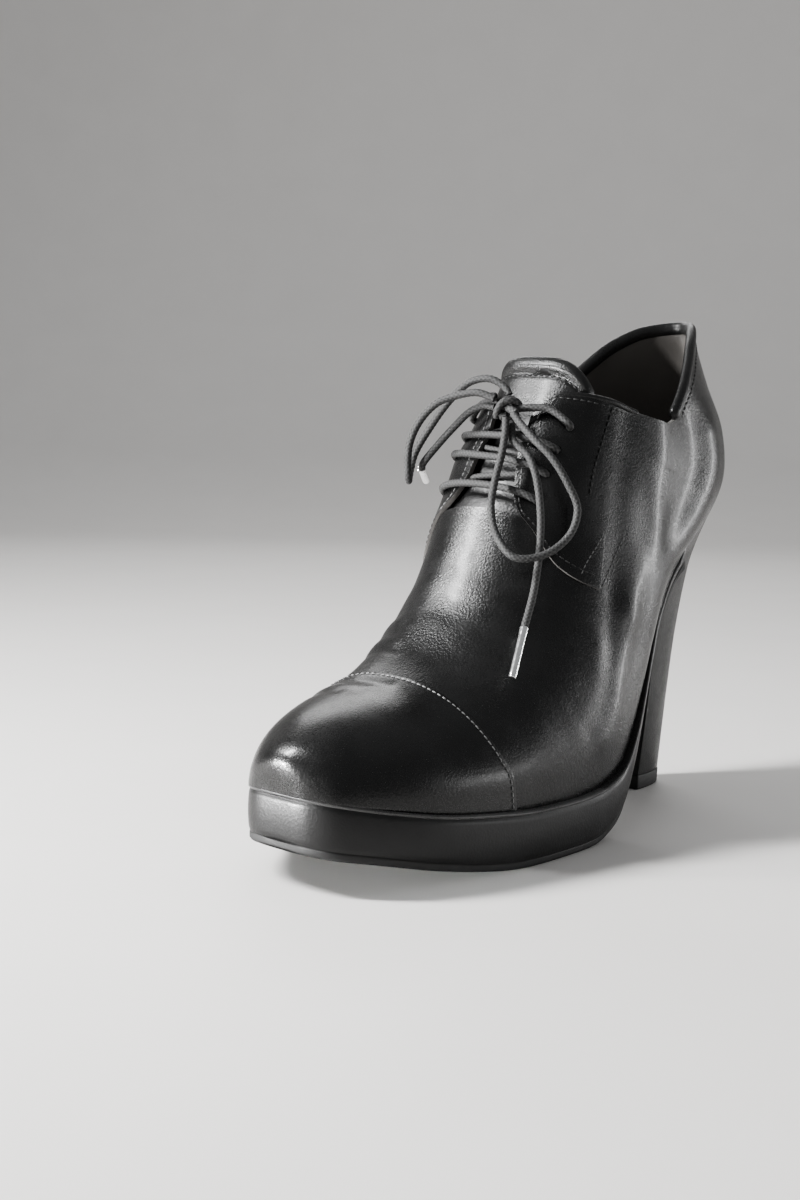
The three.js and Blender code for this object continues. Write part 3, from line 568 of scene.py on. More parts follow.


# The cut edges' light grey is partly the raw edge's own colour and partly a painted highlight along
# the edges
cut_edge_painted_highlight = plain_finish("cut_leather_edge_painted_highlight", (900, 3), (grey(0.07, 0.04), grey(0.15, 0.04)), None,
                        (0.00006, 0.5), Roughness=0.3, Specular_IOR_Level=0.7)
# The lining's grey is painted lighter than its black leather: painted light standing in for the
# light inside the boot
lining = plain_finish("lining_leather_painted_light", (60, 3), (grey(0.06, 0.06), grey(0.1, 0.06)),
                      (0.3, 0.7, 0.42, 0.58), (0.00008, 0.5), fine=(1800, 3))
rubber = plain_finish("rubber_tread", (160, 5), (grey(0.009), grey(0.022)),
                      (0.3, 0.8, 0.55, 0.75), (0.0001, 0.5), (0.45, 0.75), (2400, 2))
aglet_metal = plain_finish("aglet_metal", (900, 4), (grey(0.62), grey(0.74)),
                           (0.3, 0.7, 0.16, 0.26), (0.000006, 0.3), Metallic=1.0)
dark_thread = thread_finish("dark_thread", 0.012)
light_thread = thread_finish("waxed_thread", 0.1)
lace_cord = cord_finish()


# Lace
lace_diameter = 2.5
cord_step = 0.22
tip_overlap = 0.6
bow_reach = 50
knot_centre = skin(10.8, 0.007, 7.5, relief=False)


def bow(rows):
    return np.array(rows) * bow_reach + knot_centre


LOOP_OUTER = bow([
    (0.08, -0.038, -0.04), (0.174, -0.068, -0.112), (0.314, -0.106, -0.212),
    (0.454, -0.08, -0.34), (0.554, -0.032, -0.506), (0.62, 0.008, -0.686),
    (0.606, -0.054, -0.862), (0.524, -0.244, -1), (0.384, -0.392, -1.016),
    (0.224, -0.392, -0.868), (0.134, -0.336, -0.692), (0.114, -0.276, -0.512),
    (0.11, -0.196, -0.312), (0.074, -0.116, -0.146), (0.046, -0.08, -0.074),
])
LOOP_INNER = bow([
    (-0.072, -0.062, 0.07), (-0.196, -0.104, 0.11), (-0.356, -0.15, 0.086),
    (-0.494, -0.19, 0.034), (-0.62, -0.228, -0.094), (-0.694, -0.25, -0.256),
    (-0.71, -0.252, -0.402), (-0.714, -0.24, -0.48), (-0.75, -0.192, -0.534),
    (-0.804, -0.124, -0.514), (-0.824, -0.084, -0.448), (-0.79, -0.078, -0.332),
    (-0.662, -0.064, -0.142), (-0.49, -0.05, 0.058), (-0.326, -0.028, 0.188),
    (-0.166, 0.004, 0.212), (-0.056, 0.036, 0.152), (-0.016, 0.038, 0.098),
])
END_OUTER = bow([
    (0.05, -0.016, -0.108), (0.134, -0.096, -0.232), (0.266, -0.098, -0.332),
    (0.348, -0.112, -0.472), (0.418, -0.144, -0.722), (0.462, -0.204, -0.966),
    (0.498, -0.306, -1.242), (0.562, -0.496, -1.486), (0.68, -0.774, -1.774),
])
END_INNER = bow([
    (-0.096, -0.014, 0.01), (-0.196, -0.014, 0.02), (-0.306, -0.036, -0.02),
    (-0.426, -0.072, -0.134), (-0.552, -0.108, -0.272), (-0.654, -0.144, -0.404),
    (-0.69, -0.118, -0.444), (-0.846, 0.124, -0.542),
])


def spline(points, step):
    """Centripetal curve through the points, at even steps."""
    ends = np.vstack([2 * points[0] - points[1], points, 2 * points[-1] - points[-2]])
    out = []
    for p0, p1, p2, p3 in zip(ends[:-3], ends[1:-2], ends[2:-1], ends[3:]):
        t1 = np.sqrt(np.linalg.norm(p1 - p0)) or 1.0
        t2 = t1 + (np.sqrt(np.linalg.norm(p2 - p1)) or 1.0)
        t3 = t2 + (np.sqrt(np.linalg.norm(p3 - p2)) or 1.0)
        t = np.linspace(t1, t2, 24, endpoint=False)[:, None]
        a1 = (t1 - t) / t1 * p0 + t / t1 * p1
        a2 = (t2 - t) / (t2 - t1) * p1 + (t - t1) / (t2 - t1) * p2
        a3 = (t3 - t) / (t3 - t2) * p2 + (t - t2) / (t3 - t2) * p3
        b1 = (t2 - t) / t2 * a1 + t / t2 * a2
        b2 = (t3 - t) / (t3 - t1) * a2 + (t - t1) / (t3 - t1) * a3
        out.append((t2 - t) / (t2 - t1) * b1 + (t - t1) / (t2 - t1) * b2)
    line = np.vstack(out + [points[-1:]])
    return evenly(line, max(4, int(round(walked(line)[-1] / step))))


def carried_frames(line):
    """Two directions across a line that turn as little as they can along it."""
    tangent = np.gradient(line, axis=0)
    tangent /= np.linalg.norm(tangent, axis=1, keepdims=True)
    side = np.cross(tangent[0], (0.3, 0.2, 0.9))
    sides = []
    for way in tangent:
        side = side - way * (side @ way)
        side = side / np.linalg.norm(side)
        sides.append(side)
    sides = np.array(sides)
    return sides, np.cross(tangent, sides)


def dome(share, least):
    """A rounded end: from least up to 1 as the share goes from 0 to 1."""
    return np.sqrt(np.clip(1 - (1 - np.clip(share, 0, 1)) ** 2, least, 1))


def tube(name, columns, path, frames, halves):
    """A tube along a path; halves gives its two half widths by the shares round and along."""
    side, other = frames

    def place(a, b):
        k = row_at(b, len(path) - 1)
        angle = 2 * np.pi * a
        wide, tall = halves(a, b)
        return (path[k] + (np.cos(angle) * wide)[:, None] * side[k]
                + (np.sin(angle) * tall)[:, None] * other[k])

    return new_sheet(name, columns, len(path) - 1, place)


def cord(name, points, diameter=lace_diameter):
    """A braided cord along a smooth line, with its strands raised, closed at both ends."""
    line = spline(np.asarray(points, float), cord_step)
    length = walked(line)[-1]
    strands = 5
    pitch = 1.7

    def halves(a, b):
        weave = np.cos(2 * np.pi * a * strands) * np.cos(b * length * 2 * np.pi / pitch)
        radius = diameter / 2 * (1.06 + 0.05 * weave)
        return radius, radius

    piece = tube(name, 30, line, carried_frames(line), halves)
    grid = (triples(piece.data.vertices, "co") / MM).reshape(len(line), -1, 3)
    reach = np.linalg.norm(grid - line[:, None, :], axis=2).ravel()
    # How far each point stands out on its strand, kept to paint the hollows between strands darker
    # as painted shade
    level = np.clip((reach / (diameter / 2) - 1.01) / 0.1, 0, 1)
    strand_shade_mask = piece.data.attributes.new("strand_shade_mask", "FLOAT", "POINT")
    strand_shade_mask.data.foreach_set("value", level)
    seal(piece)
    soften(piece, 80)
    return piece, line, length


def declare(line, length):
    tuple(line[0] * MM)
    length * MM
    [tuple(p * MM) for p in line]


def aglet(name, start, tip):
    """A crimped metal tip, rolled from sheet with a seam along it."""
    way = tip - start
    line = start + np.linspace(0, 1, 41)[:, None] * way

    def halves(a, b):
        end = b * np.linalg.norm(way)
        radius = 1.5 - 0.1 * smooth(end, 2.0, 3.4) - 0.1 * np.exp(-((end - 1.4) / 0.35) ** 2)
        radius = radius - 0.15 * smooth(b, 0.9, 1)
        radius = radius - 0.1 * np.exp(-(((a - 0.5) * 2 * np.pi * 1.5) / 0.18) ** 2)
        return radius, radius

    piece = tube(name, 40, line, carried_frames(line), halves)
    seal(piece)
    round_edges(piece, 0.18, 2, 60)
    return piece


for which, rows in (("outer", LOOP_OUTER), ("inner", LOOP_INNER)):
    piece, line, length = cord(f"bow_loop_{which}", rows)
    dress(piece, lace_cord, "cord", f"lace_loop_{which}")
    declare(line, length)
for which, rows in (("outer", END_OUTER), ("inner", END_INNER)):
    last, tip = rows[-2], rows[-1]
    start = last - (tip - last) / np.linalg.norm(tip - last) * tip_overlap
    metal = aglet(f"metal_tip_{which}", start, tip)
    dress(metal, aglet_metal, "metal", f"aglet_{which}", angle=50)
    piece, line, length = cord(f"bow_end_{which}", rows[:-1])
    dress(piece, lace_cord, "cord", f"lace_end_{which}")
    declare(line, length)

# Upper
tip_station = 0.06
wall = 1.8
cap_step = 0.8
facing_step = 1.0
ring_columns = 164
upright_rows = 52
hole_radius = 1.6
binding_steps = 70
rim_steps = 150
rim_smoothing = 24
cap_spread = 0.6
TOE_STATIONS = tip_station + (front_station - tip_station) * np.linspace(0, 1, 6)[:-1]

near = np.linspace(0, 15, 1501)
FEATHER_PLACE = feather(near)
toe_centre = last_point(0, np.linspace(-1, 1, 40, endpoint=False)).mean(0)
rounds = np.linspace(-1, 1, 801)


def collar_station(around):
    """Station at which the wall reaches the collar's edge, for places round the ring."""
    steps = np.linspace(9.9, 15, 360)
    points = last_point(steps[:, None], np.asarray(around)[None, :])
    over = points[..., 2] - collar_height(points[..., 1])
    first = np.clip(np.argmax(over > 0, axis=0), 1, len(steps) - 1)
    column = np.arange(over.shape[1])
    below, above = over[first - 1, column], over[first, column]
    share = np.clip(-below / (above - below + 1e-9), 0, 1)
    return steps[first - 1] + share * (steps[first] - steps[first - 1])


TOP_STATION = collar_station(rounds)


def top_station(around):
    return np.interp(around, rounds, TOP_STATION)


def ring_place(station, share):
    """Place round the ring for a share from -1 to 1 of what stands above the sole."""
    outer = np.interp(station, near, FEATHER_PLACE[0])
    inner = np.interp(station, near, FEATHER_PLACE[1])
    return share * np.where(share > 0, outer, inner)


def aim(piece, core):
    """Turns an open sheet's faces away from a point inside the boot."""
    away = triples(piece.data.polygons, "center") - np.asarray(core) * MM
    if (away * triples(piece.data.polygons, "normal")).sum() < 0:
        edit(piece, bpy.ops.mesh.flip_normals)


def delete_faces(piece, chosen):
    choose(piece)
    bpy.ops.object.mode_set(mode="EDIT")
    bpy.ops.mesh.select_mode(type="FACE")
    bpy.ops.mesh.select_all(action="DESELECT")
    bpy.ops.object.mode_set(mode="OBJECT")
    piece.data.polygons.foreach_set("select", chosen)
    bpy.ops.object.mode_set(mode="EDIT")
    bpy.ops.mesh.delete(type="FACE")
    bpy.ops.mesh.select_mode(type="VERT")
    bpy.ops.object.mode_set(mode="OBJECT")


def punch(piece, holes):
    """Cuts the lace's round holes through a sheet that has its thickness."""
    for station, around in holes:
        middle = skin(station, around, 0.0) * MM
        way = Vector(last_normal(station, around))
        bpy.ops.object.select_all(action="DESELECT")
        bpy.ops.mesh.primitive_cylinder_add(
            vertices=20, radius=hole_radius * MM, depth=9 * MM, location=middle,
            rotation=way.to_track_quat("Z", "Y").to_euler())
        cutter = bpy.context.object
        apply(piece, "BOOLEAN", operation="DIFFERENCE", solver="EXACT", object=cutter)
        bpy.data.objects.remove(cutter)


def make_body():
    run = np.linspace(0, 1, 119)[:-1]
    vamp = front_station + (vamp_end - front_station) * (1 - np.cos(np.pi / 2 * run))
    side = vamp_end + (back_station - vamp_end) * np.sin(np.pi / 2 * np.linspace(0, 1, 27)[:-1])
    rows = np.r_[0, TOE_STATIONS, vamp, side]
    count = len(rows) + upright_rows

    def spot(a, b):
        i = row_at(b, count - 1)
        share = np.clip(2 * a - 1, -1, 1)
        rise = np.clip((i - len(rows)) / (upright_rows - 1), 0, 1)
        standing = back_station + (top_station(share) - back_station) * rise
        station = np.where(i < len(rows), rows[np.minimum(i, len(rows) - 1)], standing)
        around = np.where(i < len(rows), ring_place(station, share), share)
        return i, station, around

    def place(a, b):
        i, station, around = spot(a, b)
        points = skin(station, around, 0.0)
        points[i == 0] = toe_centre - (0, waves_at(toe_centre[None])[0], 0)
        return points

    piece = new_sheet("upper_wall", ring_columns, count - 1, place)
    seal(piece, fill=False)
    aim(piece, (0, 60, 60))
    middle = triples(piece.data.polygons, "center") / MM
    stations = np.linspace(vamp_end, throat_top, 120)
    margin = 0.03
    inner = look_up(THROAT, 2, stations) - margin
    outer = look_up(THROAT, 1, stations) + margin
    gap = (middle[:, None, :] - last_point(stations, (inner + outer) / 2)[None]) ** 2
    grid_s, grid_r = np.meshgrid(stations, np.linspace(-0.3, 0.3, 81), indexing="ij")
    cloud = last_point(grid_s, grid_r).reshape(-1, 3)
    chosen = np.zeros(len(middle), bool)
    nearby = np.where(np.sqrt(gap.sum(-1).min(1)) < 24)[0]
    for face in nearby:
        k = int(((cloud - middle[face]) ** 2).sum(1).argmin())
        station, around = grid_s.ravel()[k], grid_r.ravel()[k]
        if station <= vamp_end + 0.01:
            continue
        low = look_up(THROAT, 2, station) - margin
        high = look_up(THROAT, 1, station) + margin
        chosen[face] = low < around < high
    delete_faces(piece, chosen)
    thicken(piece, wall, material_offset=1, material_offset_rim=2)
    return piece


def make_cap():
    count = 66
    front_rows = len(TOE_STATIONS) + 1

    def place(a, b):
        i = row_at(b, count - 1)
        share = np.clip(2 * a - 1, -1, 1)
        rise = np.clip((i - front_rows) / (count - 1 - front_rows), 0, 1)
        rise = 1 - np.cos(np.pi / 2 * rise)
        around = share * cap_spread
        for _ in range(6):
            seam = look_up(CAP_SEAM, 1, around)
            station = np.where(i < front_rows, TOE_STATIONS[np.clip(i - 1, 0, front_rows - 2)],
                               front_station + (seam - front_station) * rise)
            around = ring_place(station, share)
        edge = 0.22 * np.exp(-((1 - b) * 60 / 1.2) ** 2)
        points = skin(station, around, cap_step - edge)
        points[i == 0] = toe_centre - (0, cap_step + waves_at(toe_centre[None])[0], 0)
        return points

    piece = new_sheet("toe_cap", ring_columns, count - 1, place)
    seal(piece, fill=False)
    aim(piece, (0, -30, 30))
    thicken(piece, 1.1, material_offset_rim=1)
    round_edges(piece, 0.22, 2, 55)
    return piece


def facing_spot(side):
    lower_around = FACING_LOWER[:, 0 if side > 0 else 1]
    lower_station = FACING_LOWER[:, 2]
    shares = np.linspace(0, 1, len(FACING_LOWER))
    front = 1 if side > 0 else 2
    low, high = lower_station[0], throat_top
    first = np.array([low, lower_around[0]])
    corner = np.array([lower_station[-1], lower_around[-1]])
    last = np.array([high, look_up(THROAT, front, high)])
    top = np.array([high, side * facing_rear_top])

    def coons(a, b):
        a, b = np.broadcast_arrays(a, b)
        station = low + (high - low) * b
        left = np.stack([station, look_up(THROAT, front, station)], -1)
        right = corner + (top - corner) * b[..., None]
        bottom = np.stack([read(shares, lower_station, a), read(shares, lower_around, a)], -1)
        upper = last + (top - last) * a[..., None]
        a, b = a[..., None], b[..., None]
        corners = (1 - b) * ((1 - a) * first + a * corner) + b * ((1 - a) * last + a * top)
        return (1 - b) * bottom + b * upper + (1 - a) * left + a * right - corners

    fine = np.linspace(0, 1, 500)
    columns = np.linspace(0, 1, 201)
    reach = np.ones(len(columns))
    for k, a in enumerate(columns):
        spots = coons(np.full(len(fine), a), fine)
        over = spots[:, 0] > top_station(spots[:, 1])
        if over.any():
            reach[k] = fine[np.argmax(over)]

    def spot(a, b):
        spots = coons(a, b * np.interp(a, columns, reach))
        return spots[..., 0], spots[..., 1]

    return spot


FACING_SPOT = {side: facing_spot(side) for side in SIDES.values()}


def facing_lift(a, b):
    """The facing stands proud along its front and lower edges and melts into the quarter."""
    return facing_step - (facing_step + 0.1) * smooth(a, 0.42, 1) * smooth(b, 0.06, 0.24)


def make_facing(name, side):
    def place(a, b):
        ease = a - 0.04 * np.sin(2 * np.pi * a)
        station, around = FACING_SPOT[side](ease, b)
        return skin(station, around, facing_lift(ease, b))

    piece = new_sheet(name, 54, 84, place)
    aim(piece, (0, 75, 90))
    thicken(piece, 1.9, material_offset=1, material_offset_rim=2)
    punch(piece, EYELETS[side])
    round_edges(piece, 0.3, 3, 55)
    return piece


def make_binding(name, side):
    """A thin bound edge along the facing's top, from the throat to the side notch."""
    first = abs(look_up(THROAT, 1 if side > 0 else 2, 11.55))
    around = np.linspace(first, 0.405, 90) * side
    low = smooth(np.abs(around), 0.3, 0.4)
    path = skin(top_station(around), around, (facing_step - 0.95) * (1 - low) - 0.75 * low)
    path = evenly(path[path[:, 1] / last_length < 0.386], binding_steps)

    def halves(a, b):
        radius = 1.15 * dome(np.minimum(b, 1 - b) * binding_steps / 3, 0.03)
        return radius, radius

    piece = tube(name, 16, path, carried_frames(path), halves)
    seal(piece)
    return piece


def rim_line(raise_by, first=0.37):
    """The line that the collar's roll follows, raised over the wall's edge or sunk below it."""
    outer = np.linspace(0.36, 1, 400)
    around = np.r_[outer, -outer[::-1][1:]]
    edge = skin(top_station(around), around, -wall / 2, relief=False)
    edge = edge[edge[:, 1] / last_length > first]
    slope = (collar_height(edge[:, 1] + 1.5) - collar_height(edge[:, 1] - 1.5)) / 3
    length = np.hypot(1, slope)
    edge = edge + np.stack([0 * slope, -slope / length, 1 / length], -1) * raise_by
    return evenly(edge, rim_steps)


def settle(points, low, high):
    """Stations and places round the ring nearest to points beside the last."""
    station, around = np.meshgrid(np.linspace(low, high, 220), np.linspace(-1, 1, 401),
                                  indexing="ij")
    cloud = last_point(station, around).reshape(-1, 3)
    best = [int(((cloud - p) ** 2).sum(1).argmin()) for p in points]
    return station.ravel()[best], around.ravel()[best]


def make_collar_rim():
    """The padded roll that finishes the collar from one notch round the back to the other."""
    path = rim_line(1.9)
    for _ in range(rim_smoothing):
        path[24:-24] = (path[23:-25] + 2 * path[24:-24] + path[25:-23]) / 4
    ahead = np.gradient(path, axis=0)
    ahead /= np.linalg.norm(ahead, axis=1, keepdims=True)
    up = np.array([0, 0, 1.0]) - ahead * ahead[:, 2:]
    up /= np.linalg.norm(up, axis=1, keepdims=True)

    def halves(a, b):
        full = dome(np.minimum(b, 1 - b) * 200 / 3, 0.02)
        pucker = 1 + 0.025 * np.cos(b * 74 * 2 * np.pi) * np.sin(2 * np.pi * a) ** 2
        return 2.05 * full * pucker, 2.55 * full

    piece = tube("collar_roll", 28, path, (np.cross(ahead, up), up), halves)
    seal(piece)
    return piece


TONGUE_SIDES = np.array([
    (7.3, 0.1, -0.11), (8.2, 0.17, -0.18), (9.5, 0.21, -0.22), (11, 0.235, -0.24),
    (13.2, 0.25, -0.25),
])
TONGUE_TOP = np.array([
    (-0.25, 12.6), (-0.18, 12.95), (-0.1, 13.1), (0, 13.12), (0.1, 12.9), (0.18, 12.5), (0.25, 12),
])
tongue_face = -wall - 0.7
tongue_seam = 0.885


def tongue_spot(a, b):
    across = lambda s: look_up(TONGUE_SIDES, 2, s) * (1 - a) + look_up(TONGUE_SIDES, 1, s) * a
    start = TONGUE_SIDES[0, 0]
    end = look_up(TONGUE_TOP, 1, across(np.full(np.shape(a), 13.2)))
    station = start + (end - start) * b
    return station, across(station)


def make_tongue():
    def place(a, b):
        front = a <= 0.5
        across = np.where(front, 2 * a, 2 - 2 * a)
        along = 1 - (1 - b) ** 1.25
        station, around = tongue_spot(across, along)
        roll = 2.2 * (1 - np.abs(2 * across - 1) ** 4) * smooth(along, tongue_seam, 0.935)
        full = (1 - np.abs(2 * across - 1) ** 10) ** 0.5
        full = full * np.sqrt(np.clip(1 - (np.clip(along - 0.945, 0, 1) / 0.055) ** 2, 0, 1))
        full = full * (1 - 0.25 * np.exp(-((along - tongue_seam) / 0.012) ** 2))
        middle = tongue_face - 1.1 + roll / 4
        half = (1.1 + roll * 0.75) * full
        return skin(station, around, np.where(front, middle + half, middle - half), relief=False)

    piece = new_sheet("tongue_pad", 72, 96, place)
    seal(piece)
    return piece


# Sole
sole_end = 103.7
sole_steps = 140
bead_height = 1.3
tread_height = 3.0


def crossing(points, place):
    """Number of the first point past a place along the boot, and the point just at it."""
    k = int(np.argmax(points[:, 1] > place))
    share = (place - points[k - 1, 1]) / (points[k, 1] - points[k - 1, 1])
    return k, points[k - 1] + share * (points[k] - points[k - 1])


def soled_side(side, margin):
    """One side of a sole layer seen from above, from the toe to the heel's breast."""
    points = FEATHER[side].copy()
    place = points[:, 1] / last_length
    grow = margin * (0.2 + 0.8 * smooth(place, -0.37, -0.2))
    grow = grow + (0.2 - grow) * smooth(place, 0.2, 0.42)
    points[:, :2] += OUTWARD[side] * grow[:, None]
    stop, last = crossing(points, sole_end)
    return evenly(np.vstack([points[:stop], last]), sole_steps)


def sole_layer(name, margin, low, high, profile):
    """A layer of the sole; profile gives height share and how far the side stands out."""
    outer = soled_side(1, margin)
    inner = soled_side(-1, margin)
    shares = np.linspace(1, 0, 7)[1:-1]
    rows = [(1.0, h, e) for h, e in profile]
    rows += [(s, 1.0, 0.0) for s in shares]
    rows += [(0.0, h, e) for h, e in profile[::-1]]
    rows += [(s, 0.0, 0.0) for s in shares[::-1]]
    rows = np.array(rows + rows[:1])

    def place(a, b):
        j = row_at(a, len(rows) - 1)
        k = row_at(b, sole_steps)
        across, height, out = rows[j].T
        across = across[:, None]
        base = outer[k] * across + inner[k] * (1 - across)
        way = outer[k] - inner[k]
        away = np.where(across > 0.5, 1, -1) * way
        away = away / (np.linalg.norm(way, axis=1, keepdims=True) + 1e-6)
        away = np.where((across == 0) | (across == 1), away, 0)
        front = smooth(k, 0, 26)[:, None]
        forward = np.array([0, -1.0, 0]) * np.abs(away).max(1, keepdims=True)
        away = away * front + forward * (1 - front)
        points = base + away * out[:, None] * (k < sole_steps - 1)[:, None]
        bottom, top = low(points[:, 1]), high(points[:, 1])
        points[:, 2] = bottom + (top - bottom) * height
        return points

    piece = new_sheet(name, len(rows) - 1, sole_steps, place)
    seal(piece)
    return piece


def swell(height, amount, edge=0.1, round_by=0.35):
    """A side profile that bellies a little and is rounded over at its two edges."""
    shares = np.r_[0, 0.02, 0.06, np.linspace(edge, 1 - edge, height), 0.94, 0.98, 1]
    rounding = 1 - smooth(np.minimum(shares, 1 - shares), 0, edge)
    return list(zip(shares, amount * np.sin(np.pi * shares) - round_by * rounding))


def make_insole():
    def place(a, b):
        k = row_at(b, outline_steps)
        rims = []
        for side in (-1, 1):
            rims.append(FEATHER[side][k].copy())
            rims[-1][:, :2] -= OUTWARD[side][k] * 2.4
        points = rims[0] * (1 - a[:, None]) + rims[1] * a[:, None]
        points[:, 2] = sole_top(points[:, 1]) + 2.3 + 0.5 * np.abs(2 * a - 1) ** 3
        return points

    piece = new_sheet("sock_lining", 30, outline_steps, place)
    aim(piece, (0, 30, -200))
    thicken(piece, 1.8)
    return piece


heel_rows = 60
breast_place = 104
foot_back = 127
foot_depth = 24
foot_width = 20
foot_centre = 2.5
TAPER = np.array([(0, 0, 0), (0.1, 0.3, 0.13), (0.2, 0.5, 0.3), (0.45, 0.76, 0.56),
                  (0.7, 0.89, 0.77), (1, 1, 1)])
round_sides = 72
breast_sides = 18


def seat_loop():
    corners = []
    sides = []
    for side in (1, -1):
        points = FEATHER[side]
        k, corner = crossing(points, breast_place)
        corners.append(corner)
        sides.append(points[k:])
    back = evenly(np.vstack([corners[0], sides[0], sides[1][::-1][1:], corners[1]]), round_sides)
    breast = np.linspace(corners[1], corners[0], breast_sides + 1)[1:]
    return np.vstack([back, breast])


def foot_loop(z, grow=0.0):
    angle = np.pi * np.linspace(0, 1, round_sides + 1)
    power = 2 / 2.6
    across, along = np.cos(angle), np.abs(np.sin(angle)) ** power
    x = foot_centre + np.sign(across) * np.abs(across) ** power * (foot_width / 2 + grow)
    y = foot_back - foot_depth - grow + along * (foot_depth + 2 * grow)
    back = np.stack([x, y, np.full_like(x, z)], -1)
    breast = np.linspace(back[-1], back[0], breast_sides + 1)[1:]
    return np.vstack([back, breast])


def make_heel():
    seat = seat_loop()
    foot = foot_loop(6.2)
    columns = len(seat) - 1
    on_breast = (np.arange(len(seat)) == 0) | (np.arange(len(seat)) >= round_sides)

    def place(a, b):
        j = row_at(a, columns)
        across = look_up(TAPER, 1, b)
        along = look_up(TAPER, 2, b)
        points = seat[j].copy()
        top = sole_top(points[:, 1]) - 0.1
        points[:, 0] += (foot[j][:, 0] - points[:, 0]) * across
        points[:, 1] += (foot[j][:, 1] - points[:, 1]) * along
        points[:, 1] += np.where(on_breast[j], 2.5 * np.sin(np.pi * b), 0)
        points[:, 2] = top + (foot[j][:, 2] - top) * b
        return points

    piece = new_sheet("heel_cover", columns, heel_rows, place)
    seal(piece)
    round_edges(piece, 0.9, 4, 42)
    return piece


def make_heel_tip():
    loops = [foot_loop(0, -0.5), foot_loop(0.5, 0.05), foot_loop(5.4, 0.25), foot_loop(6.1, 0.0)]
    columns = len(loops[0]) - 1

    def place(a, b):
        j = row_at(a, columns)
        k = row_at(b, 3)
        return np.array(loops)[k, j]

    piece = new_sheet("heel_lift", columns, 3, place)
    seal(piece)
    round_edges(piece, 0.25, 2, 40)
    return piece


lace_lift = facing_step + 0.4 + lace_diameter / 2


def eyelet_dive(side, pair, depth):
    station, around = EYELETS[side][pair]
    return skin(station, around, depth, relief=False)


def make_bar(pair):
    """A crossing of the lace: up through one eyelet, over the tongue, down through the other."""
    (s0, r0), (s1, r1) = EYELETS[-1][pair], EYELETS[1][pair]
    share = np.linspace(0, 1, 9)
    top = skin(s0 + (s1 - s0) * share, r0 + (r1 - r0) * share, lace_lift, relief=False)
    points = np.vstack([eyelet_dive(-1, pair, -1.6), eyelet_dive(-1, pair, 0.6), top[1:-1],
                        eyelet_dive(1, pair, 0.6), eyelet_dive(1, pair, -1.6)])
    return cord(f"lace_crossing_{pair}", points)[0]


def make_undercross(low, high, side):
    """The lace's way up under the facings, seen in the throat."""
    (s0, r0), (s1, r1) = EYELETS[-side][low], EYELETS[side][high]
    share = np.linspace(0, 1, 9)
    points = skin(s0 + (s1 - s0) * share, r0 + (r1 - r0) * share,
                  -1.9 + 0.5 * np.sin(np.pi * share), relief=False)
    return cord(f"lace_under_{low}", points, diameter=2.2)[0]


def make_knot():
    """The bow's knot: one turn over the middle, with the crossing's two sides run into it."""
    normal = last_normal(10.8, 0.007)
    upward = np.array([0, 0, 1.0]) - normal * normal[2]
    upward /= np.linalg.norm(upward)
    across = np.cross(upward, normal)
    across = across * np.sign(across[0])

    def through(rows):
        return np.array([knot_centre + across * x + upward * u + normal * d for x, u, d in rows])

    turn = np.linspace(-0.45 * np.pi, 1.65 * np.pi, 26)
    wrap = through(zip(1.5 * np.sin(turn) + 1.4 * np.linspace(-1, 1, 26) - 0.3,
                       3.5 * np.sin(turn), 2.9 * np.cos(turn)))
    second = through([(-3.6, -2.4, -1.2), (-2.6, -1.2, 1.4), (-0.9, 0.6, 2.6), (1.1, 2.3, 1.7),
                      (2.6, 3.0, -0.6), (3.0, 2.2, -2.4)])
    core = through([(-4.4, 1.4, 0.0), (-2.2, 0.7, 0.5), (0, 0, 0.6), (2.2, -0.7, 0.4),
                    (4.4, -1.7, -0.1)])
    under = through([(-3.6, 0.2, -1.6), (-1.2, -1.6, -1.4), (1.2, -2.0, -1.4), (3.6, -0.4, -1.6)])
    parts = [cord("knot_wrap", wrap)[0], cord("knot_second", second)[0],
             cord("knot_core", core, diameter=2.7)[0], cord("knot_under", under)[0]]
    for side in (1, -1):
        station, around = EYELETS[side][0]
        shoulder = skin(station + 0.4, around - side * 0.08, lace_lift + 0.5, relief=False)
        start = knot_centre + np.array([0, 0.6, 0])
        points = np.array([start, start + (shoulder - start) * 0.6 + (0, 0, 0.3), shoulder,
                           skin(station, around, lace_lift - 0.3, relief=False),
                           eyelet_dive(side, 0, -1.4)])
        parts.append(cord(f"knot_aside_{side}", points)[0])
    return join("bow_knot", parts)


# Stitches
def make_stitches(name, courses, pitch, long, thick):
    """Rows of thread: each stitch is a small spindle laid along its course."""
    bpy.ops.object.select_all(action="DESELECT")
    bpy.ops.mesh.primitive_uv_sphere_add(segments=8, ring_count=6, radius=0.5)
    stitch = bpy.context.object
    stitch.name = name
    shape = triples(stitch.data.vertices, "co")
    bend = np.abs(shape[:, 2]) * 2
    shape = np.stack([shape[:, 0] * thick, shape[:, 1] * thick - 0.3 * thick * bend**3,
                      shape[:, 2] * long], -1)
    faces = [list(face.vertices) for face in stitch.data.polygons]
    corners, polygons = [], []
    for points, normals in courses:
        length = walked(points)
        count = max(1, int(length[-1] / pitch))
        for k in range(count):
            at = (k + 0.5) * length[-1] / count
            before, spot, after = (np.array([np.interp(x, length, points[:, i]) for i in range(3)])
                                   for x in (at - 0.5, at, at + 0.5))
            up = np.array([np.interp(at, length, normals[:, i]) for i in range(3)])
            way = (after - before) / np.linalg.norm(after - before)
            up = up - way * (up @ way)
            up = up / np.linalg.norm(up)
            turn = np.stack([np.cross(up, way), up, way])
            base = len(corners) * len(shape)
            corners.append(spot + shape @ turn)
            polygons += [[base + v for v in face] for face in faces]
    mesh = stitch.data
    mesh.clear_geometry()
    mesh.from_pydata(np.vstack(corners) * MM, [], polygons)
    mesh.name = name
    seal(stitch, fill=False)
    edit(stitch, face_outwards)
    return stitch


